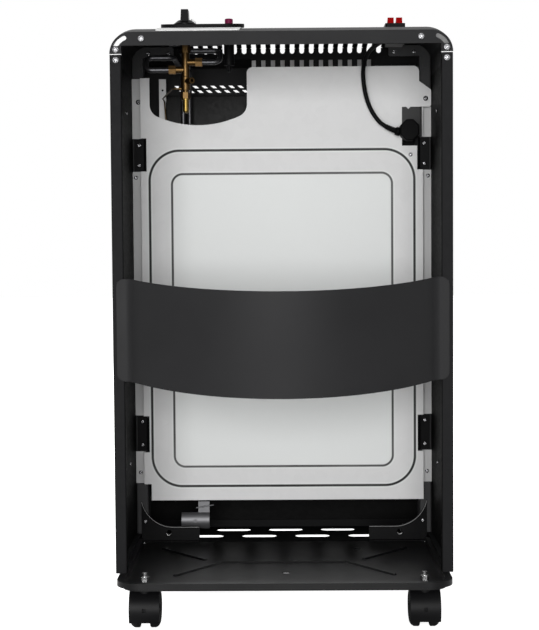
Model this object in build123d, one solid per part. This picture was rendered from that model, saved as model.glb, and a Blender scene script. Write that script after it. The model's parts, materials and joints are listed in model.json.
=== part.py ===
"""Portable gas cabinet heater on casters, with its back cover off.

Millimetres. X runs to the right as seen from behind, Y from the open back to the heated
front, Z is up. Pieces are drawn with Y = 0 on the rear flange and their heights over a level
just above the ground, and moved at the end so that the origin lies on the ground under the
middle of the whole heater.
"""
from build123d import *

import os
from math import atan2, degrees, pi, radians, sqrt, tan

# Sheet metal
SHEET = 1.0             # thickness of every pressed steel piece
BEND = 2.0              # radius on the middle line of a fold
GAP = 0.3               # clearance between a piece and the seat it doesn't press on
RUN = 0.06              # radial clearance of a shaft in its bore
SEAT = 0.1              # air between two curved sheets that lie on each other

# Cabinet shell
CAB_W = 420.0           # outside width
CAB_D = 340.0           # rear flange to the front edge of the side panels
PANEL_FOOT = 60.0       # lower edge of the side panels
PANEL_TOP = 700.4       # their upper edge
LID_FOOT = 701.6        # lower edge of the lid's skirts
LID_EDGE = 728.0        # height of the lid at its rear and front edges
LID_RISE = 22.0         # rise of the lid between those edges
LID_CORNER = 26.0       # radius of the lid's long edges
LID_OVERHANG = 2.0      # the lid reaches this far past the side panels in front
LID_FLANGE = 16.5       # height of the lid's rear flange
SIDE_FLANGE = 14.5      # width of the rear flanges at the sides
SIDE_LIP = 8.0          # lip folded forward from a side flange
FRONT_FLANGE = 12.0     # width of the side panels' front flanges
FOOT_FLANGE = 7.0       # width of their feet, which stand on the tray's rim

# Lid vents and corner openings
LID_VENTS = 20
VENT_PITCH = 13.6
VENT_W = 8.0
LID_VENT_Y = (222.0, 298.0)
LID_VENT_X = 8.9        # middle of the row
CRESCENT_RIM = 3.0      # metal left outside a corner's crescent opening
CRESCENT_W = 5.5
CRESCENT_ARC = (112.0, 163.0)   # from and to, degrees from +X round the corner's centre

# Tray and floor
TRAY_W = CAB_W - 10.0
TRAY_REAR = 55.0        # the tray reaches this far behind the rear flange
TRAY_FRONT = 231.0      # and this far in front of it
TRAY_FOOT = 53.0        # lower edge of the tray's skirt
TRAY_FLOOR = 50.0       # upper face of its floor
TRAY_RIM = 9.0          # width of the raised rim, which runs round the rear and the sides
TRAY_RADIUS = (28.0, 22.0)      # rear and front corners
RIB_W = 8.0
RIB_H = 2.0
MIDDLE_RIB = (82.0, 103.0)          # half length and depth
REAR_RIB_END = (138.0, 30.0)        # it runs on from the middle rib's end
FRONT_RIB = ((106.0, 118.0), (166.0, 186.0))
TRAY_SLOT = (2.0, 43.0)             # place of the small slot
FLOOR_VENT = (50.0, 18.0)
FLOOR_VENT_PITCH = 76.3
FLOOR_VENT_X = 2.4                  # middle of the rows
FLOOR_VENT_ROWS = ((272.0, 4), (316.0, 3))   # depth and number of slots
FLOOR_SKIRT = 46.0                  # lower edge of the skirt at the very front

# Casters, with heights over the ground
GROUND = -11.0          # the ground's level in the heights of all other pieces
WHEEL_R = 25.0
WHEEL_W = 12.4
WHEEL_TRAIL = 10.0      # stem to axle
FORK_W = 12.4           # web between the two wheels
STUD_R = 3.0
AXLE_R = 3.0
HOOD_GAP = 1.2
HOOD_T = 1.4
CASTER_X = TRAY_W / 2 - 30.6
CASTER_Y = (5.0, 300.0)
NUT_AF = 10.0
CASTER_TOP = 55.0
STUD_FOOT = 32.0
STUD_END = 10.0         # the studs end this far above the tray's floor
BOSS_R = 8.0
WINDOW = 4.4            # small square window in the hood's back
HOOD_ARC = (48.0, 212.0)    # from and to, degrees from +Y round the axle

# Partition
PART_Y = 228.0          # its rear face
PART_STEP = 10.0        # the side strips stand this far in front of the main face
PART_EDGE = CAB_W / 2 - 14.0        # half width of the main face
PART_FOOT = 110.0
PART_TOP = 714.0
STRIP_FOOT = 133.0
STRIP_TOP = 700.0
NOTCH_X = (13.0 - PART_EDGE, -47.7)
NOTCH_LOW = 634.5
NOTCH_SIDE = 652.0      # where the notch's sides meet its round bottom
NOTCH_R = 18.0
PART_CORNER = 8.0
EAR_X = PART_EDGE + 11.5
EAR_Z = (657.7, 681.0)
WINDOW_X = PART_EDGE - 29.0
WINDOW_Z = (604.0, 657.7)
GROOVE_W = 2.6
GROOVE_DEPTH = 0.6
OUTER_GROOVE = (PART_EDGE - 12.0, 130.0, 599.5, 42.0)   # half width, low, high, corner
INNER_GROOVE = (PART_EDGE - 43.0, 157.5, 567.0, 15.0)

# Posts, brackets and gussets behind the partition
POST_W = 16.0
POST_D = 20.0
POST_TOP = LID_EDGE + 16.0
EAR_LEN = 42.7          # the ears under the lid
EAR_H = 15.0
EAR_SCREWS = (7.4, 34.9)            # places along an ear
GUSSET_W = 82.0
GUSSET_H = 57.0
GUSSET_ARM = 21.0
SHIELD_Y = 252.0
SHIELD_Z = (470.0, 632.0, 728.0)    # foot, top on the tap's side, foot of the comb
SHIELD_STEP_X = -42.0
SHIELD_PITCH = 13.45
SHIELD_SLOT = (5.4, 26.0)
SHIELD_SLOT_Z = 713.2
SHIELD_SLOTS = 13
COMB_FOOT = 735.8           # round ends of the comb's slots, which are open at the top
COMB_X = 8.8                # middle of the comb
BRACKET_Z = ((178.0, 229.0), (571.0, 617.0))
BRACKET_IN = 8.0            # depth of the partition's notches at the brackets

# Retaining band
BAND_Z = (300.0, 426.5)     # at its ends
BAND_END = CAB_W / 2 - 5.0  # half length over the ends
BAND_FLAT = 17.0            # flat part of each end, on the flange
BAND_BULGE = 85.0
BAND_SAG = 14.0             # the middle hangs this much lower than the ends
BAND_CORNER = 10.0
HOOK_X = BAND_END - 2.0
HOOK_W = 3.0
HOOK_Z = (318.0, 414.0)
HOOK_T = 9.0
HOOK_DEPTH = 7.0

# Burner at the front
OPENING = (CAB_W / 2 - 49.0, 372.0, 676.0)   # half width, low and high edge
FASCIA_FOOT = 332.0
FASCIA_CORNER = 8.0
FASCIA_RETURN = 8.0         # depth of the rim folded back round the opening
FASCIA_VENT = (5.6, 3.6)
FASCIA_VENT_SLANT = 2.2     # its upper edge lies this far to the left of its middle
FASCIA_VENT_PITCH = 13.2
FASCIA_VENT_Z = (700.2, 693.6)
FASCIA_VENTS = 24
REFLECTOR_Y = 284.0
REFLECTOR_IN = 3.0          # the reflector's walls stand this far outside the opening
PLAQUE = (86.0, 132.0, 12.0)
BURNER_PITCH = 98.0
PLAQUE_Z = 582.0
BURNER_W = 94.0
BURNER_D = 34.0
BURNER_FOOT = 462.0
BURNER_STRIP_TOP = 706.0
PILOT_X = -154.0
PILOT_Z = 512.0
PILOT_LINE_X = -166.0       # where the thermocouple tube passes above the heat shield
PILOT_LINE_Z = 673.0
MANIFOLD_Z = 478.0
MANIFOLD_R = 8.0
MANIFOLD_Y = 268.0
MANIFOLD_END = 20.0         # the rail runs this far past the tap
INJECTOR_R = 4.0
TUBE_R = 5.0
TUBE_Z = (402.0, 436.0)
TUBE_Y = 308.0
HOLDER = (18.0, 12.0, 13.0)         # tube holder: across, half depth, height past a tube
GUARD_R = 2.0               # bowed bars
GUARD_FRAME_R = 2.5
GUARD_POST_R = 1.8
GUARD_BULGE = 14.0
GUARD_BARS = 9
GUARD_POSTS = 5

# Gas tap and controls under and on the lid
TAP_X = -123.0
TAP_Y = 90.0
TAP_FOOT = 656.0
TAP_NECK = 725.5
TAP_R = 5.2
TAP_ARM = 17.0              # length of the arms that the tubes leave from
HEX_AF = 11.0
HEX_H = 8.0
TAP_CHAMBER = (6.0, 685.0)  # radius and top of the wider part above the hexagon
TAP_COLLAR = (11.0, 11.0)   # collar below the bridge: across its flats, and its height
STUB_Z = 678.0              # side stub with an open end
STUB_END = (9.0, -13.0)     # from the tap's axis
SPINDLE_R = 3.0
SPINDLE_FOOT = 706.0
PIN_R = 1.6
PIN_FOOT = 686.0
PUSH_TRAVEL = 4.0
NOZZLE_R = 4.0
NOZZLE_LEN = 18.0
NOZZLE_SMOOTH = 14.0
PIPE_R = 3.6
PIPE_NUT_AF = 10.5
NUT_L = 9.0
PIPE_TURN_X = (-174.5, -78.8)
PIPE_END_X = (-139.0, -130.0)
LEFT_PIPE_Z = 693.0
RIGHT_PIPE_Z = 702.6
PIPE_RISE = (17.4, 16.4)    # height of the left and the right U-turn
PIPE_BACK = 14.0            # the return legs lie this far in front
BRIDGE_X = (-145.0, -77.0)  # ends of the bridge that carries the tap
TRIM_T = 1.2
TRIM = (-154.6, -50.8, 10.0, 150.0)
BEZEL_L = 107.0
BEZEL_W = 46.0
BEZEL_T = 4.5
BEZEL_X = -100.5
KNOB_R = 14.8
KNOB_FOOT = LID_EDGE + 21.5
KNOB_H = 19.3
KNOB_GRIP = 11.0
KNOB_SKIRT = 6.0
KNOB_BEVEL = (4.4, 5.4)     # height and depth of the slope round the skirt
KNOB_WELL = KNOB_R + 0.8    # the round opening that the knob stands in
BUTTON_X = -66.8
BUTTON_R = 5.2
BUTTON_FOOT = LID_EDGE
BUTTON_H = 29.5
BUTTON_TRAVEL = 6.0
PIEZO_R = 6.6
PIEZO_FOOT = LID_EDGE - 30.0
PIEZO_TOP = LID_EDGE + 23.0
SWITCH_X = 145.6
SWITCH_W = 25.4
SWITCH_L = 32.0
SWITCH_FOOT = LID_EDGE - 6.0
SWITCH_TOP = LID_EDGE + 20.0
ROCKER_W = 7.8
ROCKER_PITCH = 10.8
ROCKER_L = 22.0
ROCKER_H = 8.5
ROCKER_DIP = 3.0
ROCKER_TILT = 12.0
ROCKER_Z = SWITCH_TOP - 2.5         # height of the pivots
ROCKER_PIN_R = 1.2

# Mains lead: its route from the switch to the plug, X, Y, Z
LEAD_R = 3.0
LEAD_ROUTE = ((140, 110, 734), (137, 135, 735), (129, 164, 734), (119, 193, 727),
              (112, 214, 710), (110.5, 220, 686), (115, 221, 662), (126, 220, 641),
              (141, 218, 628), (157, 217, 624))
PLUG_SIZE = (25.5, 23.5, 29.0)      # it stops just behind the partition's face
PLUG_X = 176.0
PLUG_Z = 624.0
PLUG_CORNER = 8.0
PLUG_REAR = 204.0
INLET = (16.0, 22.0)
INLET_DEPTH = 20.0

# Tilt switch
CLIP_X = -125.8
CLIP_Y = 249.0
CLIP_W = 39.8
CLIP_BULGE = 6.0
CLIP_Z = (16.2, 38.6, 54.5)         # above the floor: ends of the bulge and the top
CLIP_NECK = 16.0                    # width of the top
TILT_SWITCH = (6.0, 12.0)           # radius and half length

# Screws
SCREW_R = 1.6
SCREW_L = 3.0               # shank behind the head
HEAD_R = 4.3
HEAD_H = 2.2
SMALL_HEAD_R = 2.9

# Sizes that follow
LID_D = CAB_D + LID_OVERHANG
WALL_X = CAB_W / 2 - SHEET              # inner face of a side panel
LID_R = (LID_RISE**2 + (LID_D / 2)**2) / (2 * LID_RISE)
LID_AXIS = (LID_D / 2, LID_EDGE + LID_RISE - LID_R)
STRIP_Y = PART_Y + PART_STEP            # rear face of the partition's side strips
POST_Y = STRIP_Y + SHEET                # rear face of the posts
FASCIA_Y = CAB_D                        # rear face of the fascia
GUARD_Y = FASCIA_Y + SHEET + GUARD_FRAME_R
POST_X = WALL_X - SHEET / 2 - GAP       # middle line of a post's wall side
HOOK_ROOT = SHEET / 2 + GAP             # band's middle line to the flange
WALL_WHEEL = FORK_W / 2 + GAP           # inner face of a wheel
CASTER_W = WALL_WHEEL + WHEEL_W         # half width over a pair of wheels
GUARD_WELD = 1.4 * GUARD_R              # crossing wires' centres, pressed together
KNOB_TOP = KNOB_FOOT + KNOB_H
ABOVE = LID_EDGE + 3 * LID_RISE         # a level over the lid, where cuts through it may end
REAR_END = -BAND_BULGE - SHEET / 2
FRONT_END = GUARD_Y + GUARD_BULGE + GUARD_WELD + GUARD_POST_R
MIDDLE_Y = (REAR_END + FRONT_END) / 2


# ---- shared shapes ----------------------------------------------------------------------
def block(x, y, z):
    """A plain block between pairs of coordinates."""
    size = Box(x[1] - x[0], y[1] - y[0], z[1] - z[0])
    return Pos(sum(x) / 2, sum(y) / 2, sum(z) / 2) * size


def prism_z(sketch, low, high):
    """A sketch in X and Y, extruded upwards."""
    return extrude(Plane.XY.offset(low) * sketch, high - low)


def prism_y(sketch, rear, front):
    """A sketch in X and Z, extruded towards the front."""
    return extrude(Plane.XZ.offset(-rear) * sketch, rear - front)


def prism_x(sketch, left, right):
    """A sketch in Y and Z, extruded to the right."""
    return extrude(Plane.YZ.offset(left) * sketch, right - left)


def frame_rect(across, up, radius=0.0):
    """A rectangle between pairs of coordinates, with round corners if asked."""
    width, height = across[1] - across[0], up[1] - up[0]
    shape = RectangleRounded(width, height, radius) if radius else Rectangle(width, height)
    return Pos(sum(across) / 2, sum(up) / 2) * shape


def bar(start, end, radius):
    """A round bar between two points."""
    way = Vector(*end) - Vector(*start)
    return extrude(Plane(origin=start, z_dir=way) * Circle(radius), way.length)


def tube(route, radius, bend):
    """A round tube along straight runs that join in arcs of one radius."""
    path = FilletPolyline(*route, radius=bend)
    section = Plane(origin=path @ 0, z_dir=path % 0) * Circle(radius)
    return sweep(section, path=path)


def folded(points, plane_part):
    """The section of a sheet folded along its middle line, given to an extruder."""
    return plane_part(trace(FilletPolyline(*points, radius=BEND), line_width=SHEET))


def hexagon(across_flats):
    """A hexagon given by the distance over its flats."""
    return RegularPolygon(across_flats / 2, 6, major_radius=False)


def mirrored(part):
    """The same piece on the other side of the cabinet."""
    return mirror(part, about=Plane.YZ)


# ---- lid --------------------------------------------------------------------------------
def lid_height(y, inset=0.0):
    """Height of the vaulted lid's surface at a depth, inset from its outer face."""
    return LID_AXIS[1] + sqrt((LID_R - inset)**2 - (y - LID_AXIS[0])**2)


def vault(inset, foot):
    """The space under the lid's outer face, drawn in from it by the inset."""
    side = Pos(*LID_AXIS) * Circle(LID_R - inset)
    side &= frame_rect((inset, LID_D - inset), (foot, LID_EDGE + 2 * LID_RISE))
    body = prism_x(side, -CAB_W / 2 + inset, CAB_W / 2 - inset)
    arched = [edge for edge in body.edges() if edge.geom_type == GeomType.CIRCLE]
    return fillet(arched, LID_CORNER - inset)


def crescent():
    """The opening that follows the lid's left corner in the rear flange."""
    outer = LID_CORNER - CRESCENT_RIM
    middle = outer - CRESCENT_W / 2
    arc = CenterArc((0, 0), middle, CRESCENT_ARC[0], CRESCENT_ARC[1] - CRESCENT_ARC[0])
    centre = Pos(-CAB_W / 2 + LID_CORNER, LID_EDGE - LID_CORNER)
    return centre * SlotArc(arc, CRESCENT_W)


def top_cover():
    """Vaulted lid with skirts, rear and front flanges, vents and holes for the controls."""
    lid = vault(0, LID_FOOT) - vault(SHEET, LID_FOOT - 2 * SHEET)
    rear_x = CAB_W / 2 - SIDE_FLANGE
    lid -= prism_y(frame_rect((-rear_x, rear_x), (LID_FOOT - 1, LID_EDGE - LID_FLANGE)),
                   -1, SHEET + BEND)
    front_x = CAB_W / 2 - FRONT_FLANGE
    lid -= block((-front_x, front_x), (LID_D - SHEET - 1, LID_D + 1),
                 (LID_FOOT - 1, LID_EDGE - LID_FLANGE))
    for side in (crescent(), mirror(crescent(), about=Plane.YZ)):
        lid -= prism_y(side, -1, SHEET + 1)
    slot = SlotOverall(LID_VENT_Y[1] - LID_VENT_Y[0], VENT_W, rotation=90)
    first = LID_VENT_X - VENT_PITCH * (LID_VENTS - 1) / 2
    for number in range(LID_VENTS):
        centre = Pos(first + VENT_PITCH * number, sum(LID_VENT_Y) / 2)
        lid -= prism_z(centre * slot, LID_EDGE, ABOVE)
    lid -= prism_z(Pos(TAP_X, TAP_Y) * Circle(KNOB_WELL), LID_EDGE, ABOVE)
    lid -= prism_z(Pos(BUTTON_X, TAP_Y) * Circle(PIEZO_R + GAP), LID_EDGE, ABOVE)
    lid -= prism_z(Pos(SWITCH_X, TAP_Y) * switch_body_outline(GAP), LID_EDGE, ABOVE)
    return lid


# ---- side panels ------------------------------------------------------------------------
def left_side_panel():
    """Side wall folded into a rear flange with a lip and a front flange, with its foot."""
    middle = SHEET / 2
    out = -CAB_W / 2 + middle
    flange = -CAB_W / 2 + SIDE_FLANGE - middle
    section = [(flange, SIDE_LIP), (flange, middle), (out, middle),
               (out, CAB_D - middle), (out + FRONT_FLANGE - middle, CAB_D - middle)]
    panel = folded(section, lambda face: prism_z(face, PANEL_FOOT, PANEL_TOP))
    reach = (-WALL_X, -WALL_X + FOOT_FLANGE)
    panel += block(reach, (SHEET + BEND, CAB_D - SHEET - BEND),
                   (PANEL_FOOT, PANEL_FOOT + SHEET))
    tab = frame_rect((-WALL_X + 1, flange - middle - GAP), (PANEL_TOP - 14, PANEL_TOP + 11), 2)
    panel += prism_y(tab, SHEET, 2 * SHEET)
    for z in HOOK_Z:
        panel -= block((-HOOK_X - HOOK_W / 2 - GAP, -HOOK_X + HOOK_W / 2 + GAP),
                       (-1, SHEET + 1),
                       (z - HOOK_ROOT - SHEET - GAP, z - HOOK_ROOT + HOOK_T + GAP))
    return panel


# ---- tray and floor ---------------------------------------------------------------------
def tray_outline(inset):
    """The tray seen from above, drawn in from its edge."""
    rear, front = TRAY_RADIUS
    half = TRAY_W / 2 - inset
    plate = frame_rect((-half, half), (-TRAY_REAR + inset, TRAY_FRONT - inset))
    corners = plate.vertices().sort_by(Axis.Y)
    plate = fillet(corners[:2], rear - inset)
    return fillet(plate.vertices().sort_by(Axis.Y)[-2:], front - inset)


def rib(start, end):
    """A rounded rib pressed up out of the tray's floor."""
    way = Vector(*end) - Vector(*start)
    turn = degrees(atan2(way.Y, way.X))
    centre = (Vector(*start) + Vector(*end)) / 2
    shape = Pos(centre.X, centre.Y) * SlotOverall(way.length + RIB_W, RIB_W, rotation=turn)
    return extrude(Plane.XY.offset(TRAY_FLOOR) * shape, RIB_H, taper=40)


def base_tray():
    """Pressed tray: hollow raised rim at the rear and sides, flat front edge, ribs, a slot."""
    under = TRAY_FLOOR - SHEET
    rim_end = TRAY_FRONT - TRAY_RADIUS[1]
    tray = prism_z(tray_outline(0), TRAY_FOOT, PANEL_FOOT)
    tray += prism_z(tray_outline(TRAY_RIM - SHEET), under, PANEL_FOOT)
    tray -= prism_z(tray_outline(TRAY_RIM), TRAY_FLOOR, PANEL_FOOT)
    ring = tray_outline(SHEET) - tray_outline(TRAY_RIM - SHEET)
    tray -= prism_z(ring, TRAY_FOOT, PANEL_FOOT - SHEET)
    tray -= block((-TRAY_W, TRAY_W), (rim_end, TRAY_FRONT), (under, PANEL_FOOT))
    front = prism_z(tray_outline(0), under, TRAY_FLOOR)
    tray += front & block((-TRAY_W, TRAY_W), (rim_end, TRAY_FRONT), (under, TRAY_FLOOR))
    half, rib_y = MIDDLE_RIB
    tray += rib((-half, rib_y), (half, rib_y))
    for side in (-1, 1):
        tray += rib((side * half, rib_y), (side * REAR_RIB_END[0], REAR_RIB_END[1]))
        start, end = FRONT_RIB
        tray += rib((side * start[0], start[1]), (side * end[0], end[1]))
    tray -= prism_z(Pos(*TRAY_SLOT) * SlotOverall(10, 5), under, PANEL_FOOT)
    for x in (-CASTER_X, CASTER_X):
        tray -= prism_z(Pos(x, CASTER_Y[0]) * Circle(STUD_R + GAP), under, PANEL_FOOT)
    return tray


def front_floor():
    """Floor sheet in front of the tray, with two staggered rows of vents and a skirt."""
    half = TRAY_W / 2
    depth = (TRAY_FRONT + GAP, CAB_D - SHEET - GAP)
    floor = block((-half, half), depth, (TRAY_FLOOR - SHEET, TRAY_FLOOR))
    floor += block((-half, half), (depth[1] - SHEET, depth[1]), (FLOOR_SKIRT, PANEL_FOOT))
    for side in (-half, half - SHEET):
        floor += block((side, side + SHEET), depth, (TRAY_FLOOR - SHEET, PANEL_FOOT))
    slot = SlotOverall(*FLOOR_VENT)
    for y, count in FLOOR_VENT_ROWS:
        for number in range(count):
            x = FLOOR_VENT_X + FLOOR_VENT_PITCH * (number - (count - 1) / 2)
            floor -= prism_z(Pos(x, y) * slot, FLOOR_SKIRT, TRAY_FLOOR + 1)
    for x in (-CASTER_X, CASTER_X):
        floor -= prism_z(Pos(x, CASTER_Y[1]) * Circle(STUD_R + GAP), FLOOR_SKIRT, PANEL_FOOT)
    return floor


# ---- posts, gussets, brackets and shield ------------------------------------------------
def left_post():
    """Folded post against the wall, with an ear below the lid and a round emboss."""
    half = SHEET / 2
    inner = -POST_X + POST_W
    section = [(-POST_X, POST_Y + POST_D), (-POST_X, POST_Y + half),
               (inner, POST_Y + half), (inner, POST_Y + POST_D)]
    post = folded(section, lambda face: prism_z(face, PANEL_FOOT + SHEET, POST_TOP))
    ear = frame_rect((inner - BEND - 5, inner + EAR_LEN), (POST_TOP - EAR_H, POST_TOP), 3)
    post += prism_y(ear, POST_Y, POST_Y + SHEET)
    middle = (inner - POST_X) / 2
    post += prism_y(Pos(middle, POST_TOP - 28) * Circle(4), POST_Y - 0.8, POST_Y + half)
    return post & vault(SHEET + GAP, 0)


def left_gusset():
    """Corner bracket with a concave edge and a lip, joining a post to the floor."""
    x0 = -WALL_X + FOOT_FLANGE + GAP
    z0 = TRAY_FLOOR
    arm = z0 + GUSSET_ARM
    flat = x0 + 46
    outline = [
        Line((x0, z0), (x0 + GUSSET_W, z0)),
        Line((x0 + GUSSET_W, z0), (x0 + GUSSET_W, arm)),
        Line((x0 + GUSSET_W, arm), (flat, arm)),
        ThreePointArc((flat, arm), (x0 + 15, z0 + 33), (x0 + 1, z0 + GUSSET_H)),
        Line((x0 + 1, z0 + GUSSET_H), (x0, z0 + GUSSET_H)),
        Line((x0, z0 + GUSSET_H), (x0, z0)),
    ]
    front = POST_Y
    plate = prism_y(make_face(Curve() + outline), front - SHEET, front)
    plate += block((x0, x0 + GUSSET_W), (TRAY_FRONT + GAP, front), (z0, z0 + SHEET))
    plate -= prism_y(Pos(x0 + 39, z0 + 13) * Circle(3), front - SHEET - 1, front + 1)
    return plate


def heat_shield():
    """Black plate in front of the partition, cut out for the tap, with a comb at the lid."""
    half = POST_X - POST_W - SHEET / 2 - GAP
    foot, low_top, comb = SHIELD_Z
    plate = frame_rect((-half, half), (foot, low_top))
    plate += frame_rect((SHIELD_STEP_X, half), (foot, ABOVE))
    plate += frame_rect((-half, half), (comb, ABOVE))
    slot = SlotOverall(SHIELD_SLOT[1], SHIELD_SLOT[0], rotation=90)
    gap = SlotOverall(ABOVE - COMB_FOOT, SHIELD_SLOT[0], rotation=90)
    for number in range(LID_VENTS):
        x = COMB_X + SHIELD_PITCH * (number - (LID_VENTS - 1) / 2)
        plate -= Pos(x, (ABOVE + COMB_FOOT) / 2) * gap
        if LID_VENTS - SHIELD_SLOTS <= number + 1 < LID_VENTS:
            plate -= Pos(x, SHIELD_SLOT_Z) * slot
    shield = prism_y(plate, SHIELD_Y, SHIELD_Y + SHEET)
    return shield & vault(SHEET + GAP, 0)


def support_brackets():
    """Four folded plates that tie the partition to the posts in its side notches."""
    half = SHEET / 2
    reach = PART_EDGE - BRACKET_IN
    section = [(WALL_X - 3, POST_Y - half), (reach + 3, POST_Y - half),
               (reach + 3, PART_Y + SHEET + half), (reach - 3, PART_Y + SHEET + half)]
    plates = []
    for low, high in BRACKET_Z:
        plate = folded(section, lambda face: prism_z(face, low + 1, high - 1))
        plates += [plate, mirrored(plate)]
    return Compound(children=plates)


# ---- partition --------------------------------------------------------------------------
def partition_outline():
    """The main face of the partition, drawn in X and Z."""
    face = frame_rect((-PART_EDGE, PART_EDGE), (PART_FOOT, PART_TOP))
    face -= frame_rect((-PART_EDGE, -PART_EDGE + 10), (PART_FOOT, STRIP_FOOT))
    face -= frame_rect((-PART_EDGE, NOTCH_X[1]), (STRIP_TOP, PART_TOP))
    face -= frame_rect((PART_EDGE - 5, PART_EDGE), (EAR_Z[0], PART_TOP))
    face = fillet(face.vertices().sort_by(Axis.Y)[-2:], PART_CORNER)
    left, right = NOTCH_X
    middle = (left + right) / 2
    notch = make_face(Curve() + [
        Line((left, NOTCH_SIDE), (left, PART_TOP + 1)),
        Line((left, PART_TOP + 1), (right, PART_TOP + 1)),
        Line((right, PART_TOP + 1), (right, NOTCH_SIDE)),
        ThreePointArc((right, NOTCH_SIDE), (middle, NOTCH_LOW), (left, NOTCH_SIDE))])
    face -= fillet(notch.vertices().sort_by(Axis.Y)[:2], NOTCH_R)
    ear = make_face(FilletPolyline(
        (PART_EDGE - 10, EAR_Z[0]), (EAR_X, EAR_Z[0]), (EAR_X, EAR_Z[1]),
        (PART_EDGE - 5, EAR_Z[1] + 12), (PART_EDGE - 10, EAR_Z[1] + 12),
        radius=3, close=True))
    face += ear
    face -= frame_rect((WINDOW_X, PART_EDGE + 1), WINDOW_Z)
    tab = Polyline((WINDOW_X + 5, WINDOW_Z[1] + 1), (WINDOW_X + 9, WINDOW_Z[1] - 3),
                   (WINDOW_X + 13, WINDOW_Z[1] + 1), close=True)
    return face + make_face(tab)


def groove(half, low, high, radius):
    """The ring of one pressed groove, drawn in X and Z."""
    outer = frame_rect((-half - GROOVE_W / 2, half + GROOVE_W / 2),
                       (low - GROOVE_W / 2, high + GROOVE_W / 2), radius + GROOVE_W / 2)
    inner = frame_rect((-half + GROOVE_W / 2, half - GROOVE_W / 2),
                       (low + GROOVE_W / 2, high - GROOVE_W / 2), radius - GROOVE_W / 2)
    return outer - inner


def partition_panel():
    """Galvanised divider: grooved main face with side strips set back towards the posts."""
    panel = prism_y(partition_outline(), PART_Y, PART_Y + SHEET)
    for side, top in ((-1, STRIP_TOP), (1, EAR_Z[0] + SHEET)):
        edge = side * PART_EDGE
        back = edge - side * SHEET
        outside = side * (WALL_X - 0.6)
        step = block(sorted((back, edge)), (PART_Y, STRIP_Y + SHEET), (STRIP_FOOT, top))
        strip = block(sorted((back, outside)), (STRIP_Y, STRIP_Y + SHEET),
                      (STRIP_FOOT, top))
        panel += step + strip
    reach = PART_EDGE - BRACKET_IN
    for low, high in BRACKET_Z:
        for span in ((-CAB_W, -reach), (reach, CAB_W)):
            panel -= block(span, (PART_Y - 1, POST_Y + 1), (low, high))
    for shape in (OUTER_GROOVE, INNER_GROOVE):
        panel -= prism_y(groove(*shape), PART_Y - 1, PART_Y + GROOVE_DEPTH)
    return panel


# ---- retaining band ---------------------------------------------------------------------
def retainer_band():
    """Curved band across the bay, its hooks reaching down through the side flanges."""
    flat_y = -HOOK_ROOT
    bend_x = BAND_END - BAND_FLAT
    line = Wire([
        Line((-BAND_END, flat_y), (-bend_x, flat_y)),
        ThreePointArc((-bend_x, flat_y), (0, -BAND_BULGE), (bend_x, flat_y)),
        Line((bend_x, flat_y), (BAND_END, flat_y))])
    bends = [point for point in line.vertices() if abs(abs(point.X) - bend_x) < 1]
    line = line.fillet_2d(12, bends)
    band = prism_z(trace(line, line_width=SHEET), BAND_Z[0] - 3 * BAND_SAG, BAND_Z[1] + BAND_SAG)
    slope = BAND_SAG / BAND_BULGE
    deep = BAND_BULGE + 10
    side = Polyline((5, BAND_Z[0] + 5 * slope), (5, BAND_Z[1] + 5 * slope),
                    (-deep, BAND_Z[1] - deep * slope), (-deep, BAND_Z[0] - deep * slope),
                    close=True)
    band &= prism_x(make_face(side), -BAND_END, BAND_END)
    inside = BAND_END - BAND_CORNER
    kept = frame_rect((-inside, inside), (BAND_Z[0] - deep, BAND_Z[1] + deep))
    kept += frame_rect((-BAND_END, BAND_END), BAND_Z, BAND_CORNER)
    band &= prism_y(kept, -deep, 1)
    for z in HOOK_Z:
        fall = HOOK_DEPTH - flat_y
        hook = make_face(Polyline((flat_y, z), (flat_y, z + HOOK_T),
                                  (HOOK_DEPTH, z + HOOK_T - fall), (HOOK_DEPTH, z - fall),
                                  close=True))
        for x in (-HOOK_X, HOOK_X):
            band += prism_x(hook, x - HOOK_W / 2, x + HOOK_W / 2)
    return band


# ---- front of the heater ----------------------------------------------------------------
def opening(extra, radius):
    """The fascia's opening, made larger all round."""
    half, low, high = OPENING
    return frame_rect((-half - extra, half + extra), (low - extra, high + extra), radius)


def front_fascia():
    """Front frame round the burner's opening, with two rows of small vents above it."""
    half = WALL_X - GAP
    top = LID_EDGE - SHEET - 2
    plate = frame_rect((-half, half), (FASCIA_FOOT, top))
    plate = fillet(plate.vertices().sort_by(Axis.Y)[-2:], LID_CORNER - SHEET - GAP)
    plate -= opening(0, FASCIA_CORNER)
    wide, high = FASCIA_VENT
    slant = FASCIA_VENT_SLANT
    vent = make_face(Polyline((-wide / 2 - slant, high / 2), (wide / 2 - slant, high / 2),
                              (wide / 2 + slant, -high / 2), (-wide / 2 + slant, -high / 2),
                              close=True))
    for row, z in enumerate(FASCIA_VENT_Z):
        count = FASCIA_VENTS - row
        for number in range(count):
            x = FASCIA_VENT_PITCH * (number - (count - 1) / 2)
            plate -= Pos(x, z) * vent
    fascia = prism_y(plate, FASCIA_Y, FASCIA_Y + SHEET)
    rim = opening(SHEET, FASCIA_CORNER + SHEET) - opening(0, FASCIA_CORNER)
    return fascia + prism_y(rim, FASCIA_Y - FASCIA_RETURN, FASCIA_Y)


def front_lower_panel():
    """Lower front panel with a raised field and a row of vents near its foot."""
    half = WALL_X - GAP
    foot = TRAY_FLOOR - 2 * SHEET
    top = FASCIA_FOOT - 2 * SHEET
    panel = prism_y(frame_rect((-half, half), (foot, top)), FASCIA_Y, FASCIA_Y + SHEET)
    field = frame_rect((-half + 36, half - 36), (foot + 74, top - 30), 18)
    raised = extrude(Plane.XZ.offset(-FASCIA_Y - SHEET) * field, -2, taper=45)
    panel += raised
    slot = SlotOverall(34, 6)
    for number in range(6):
        x = 50 * (number - 2.5)
        panel -= prism_y(Pos(x, foot + 56) * slot, FASCIA_Y - 1, FASCIA_Y + SHEET + 1)
    return panel


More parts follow.
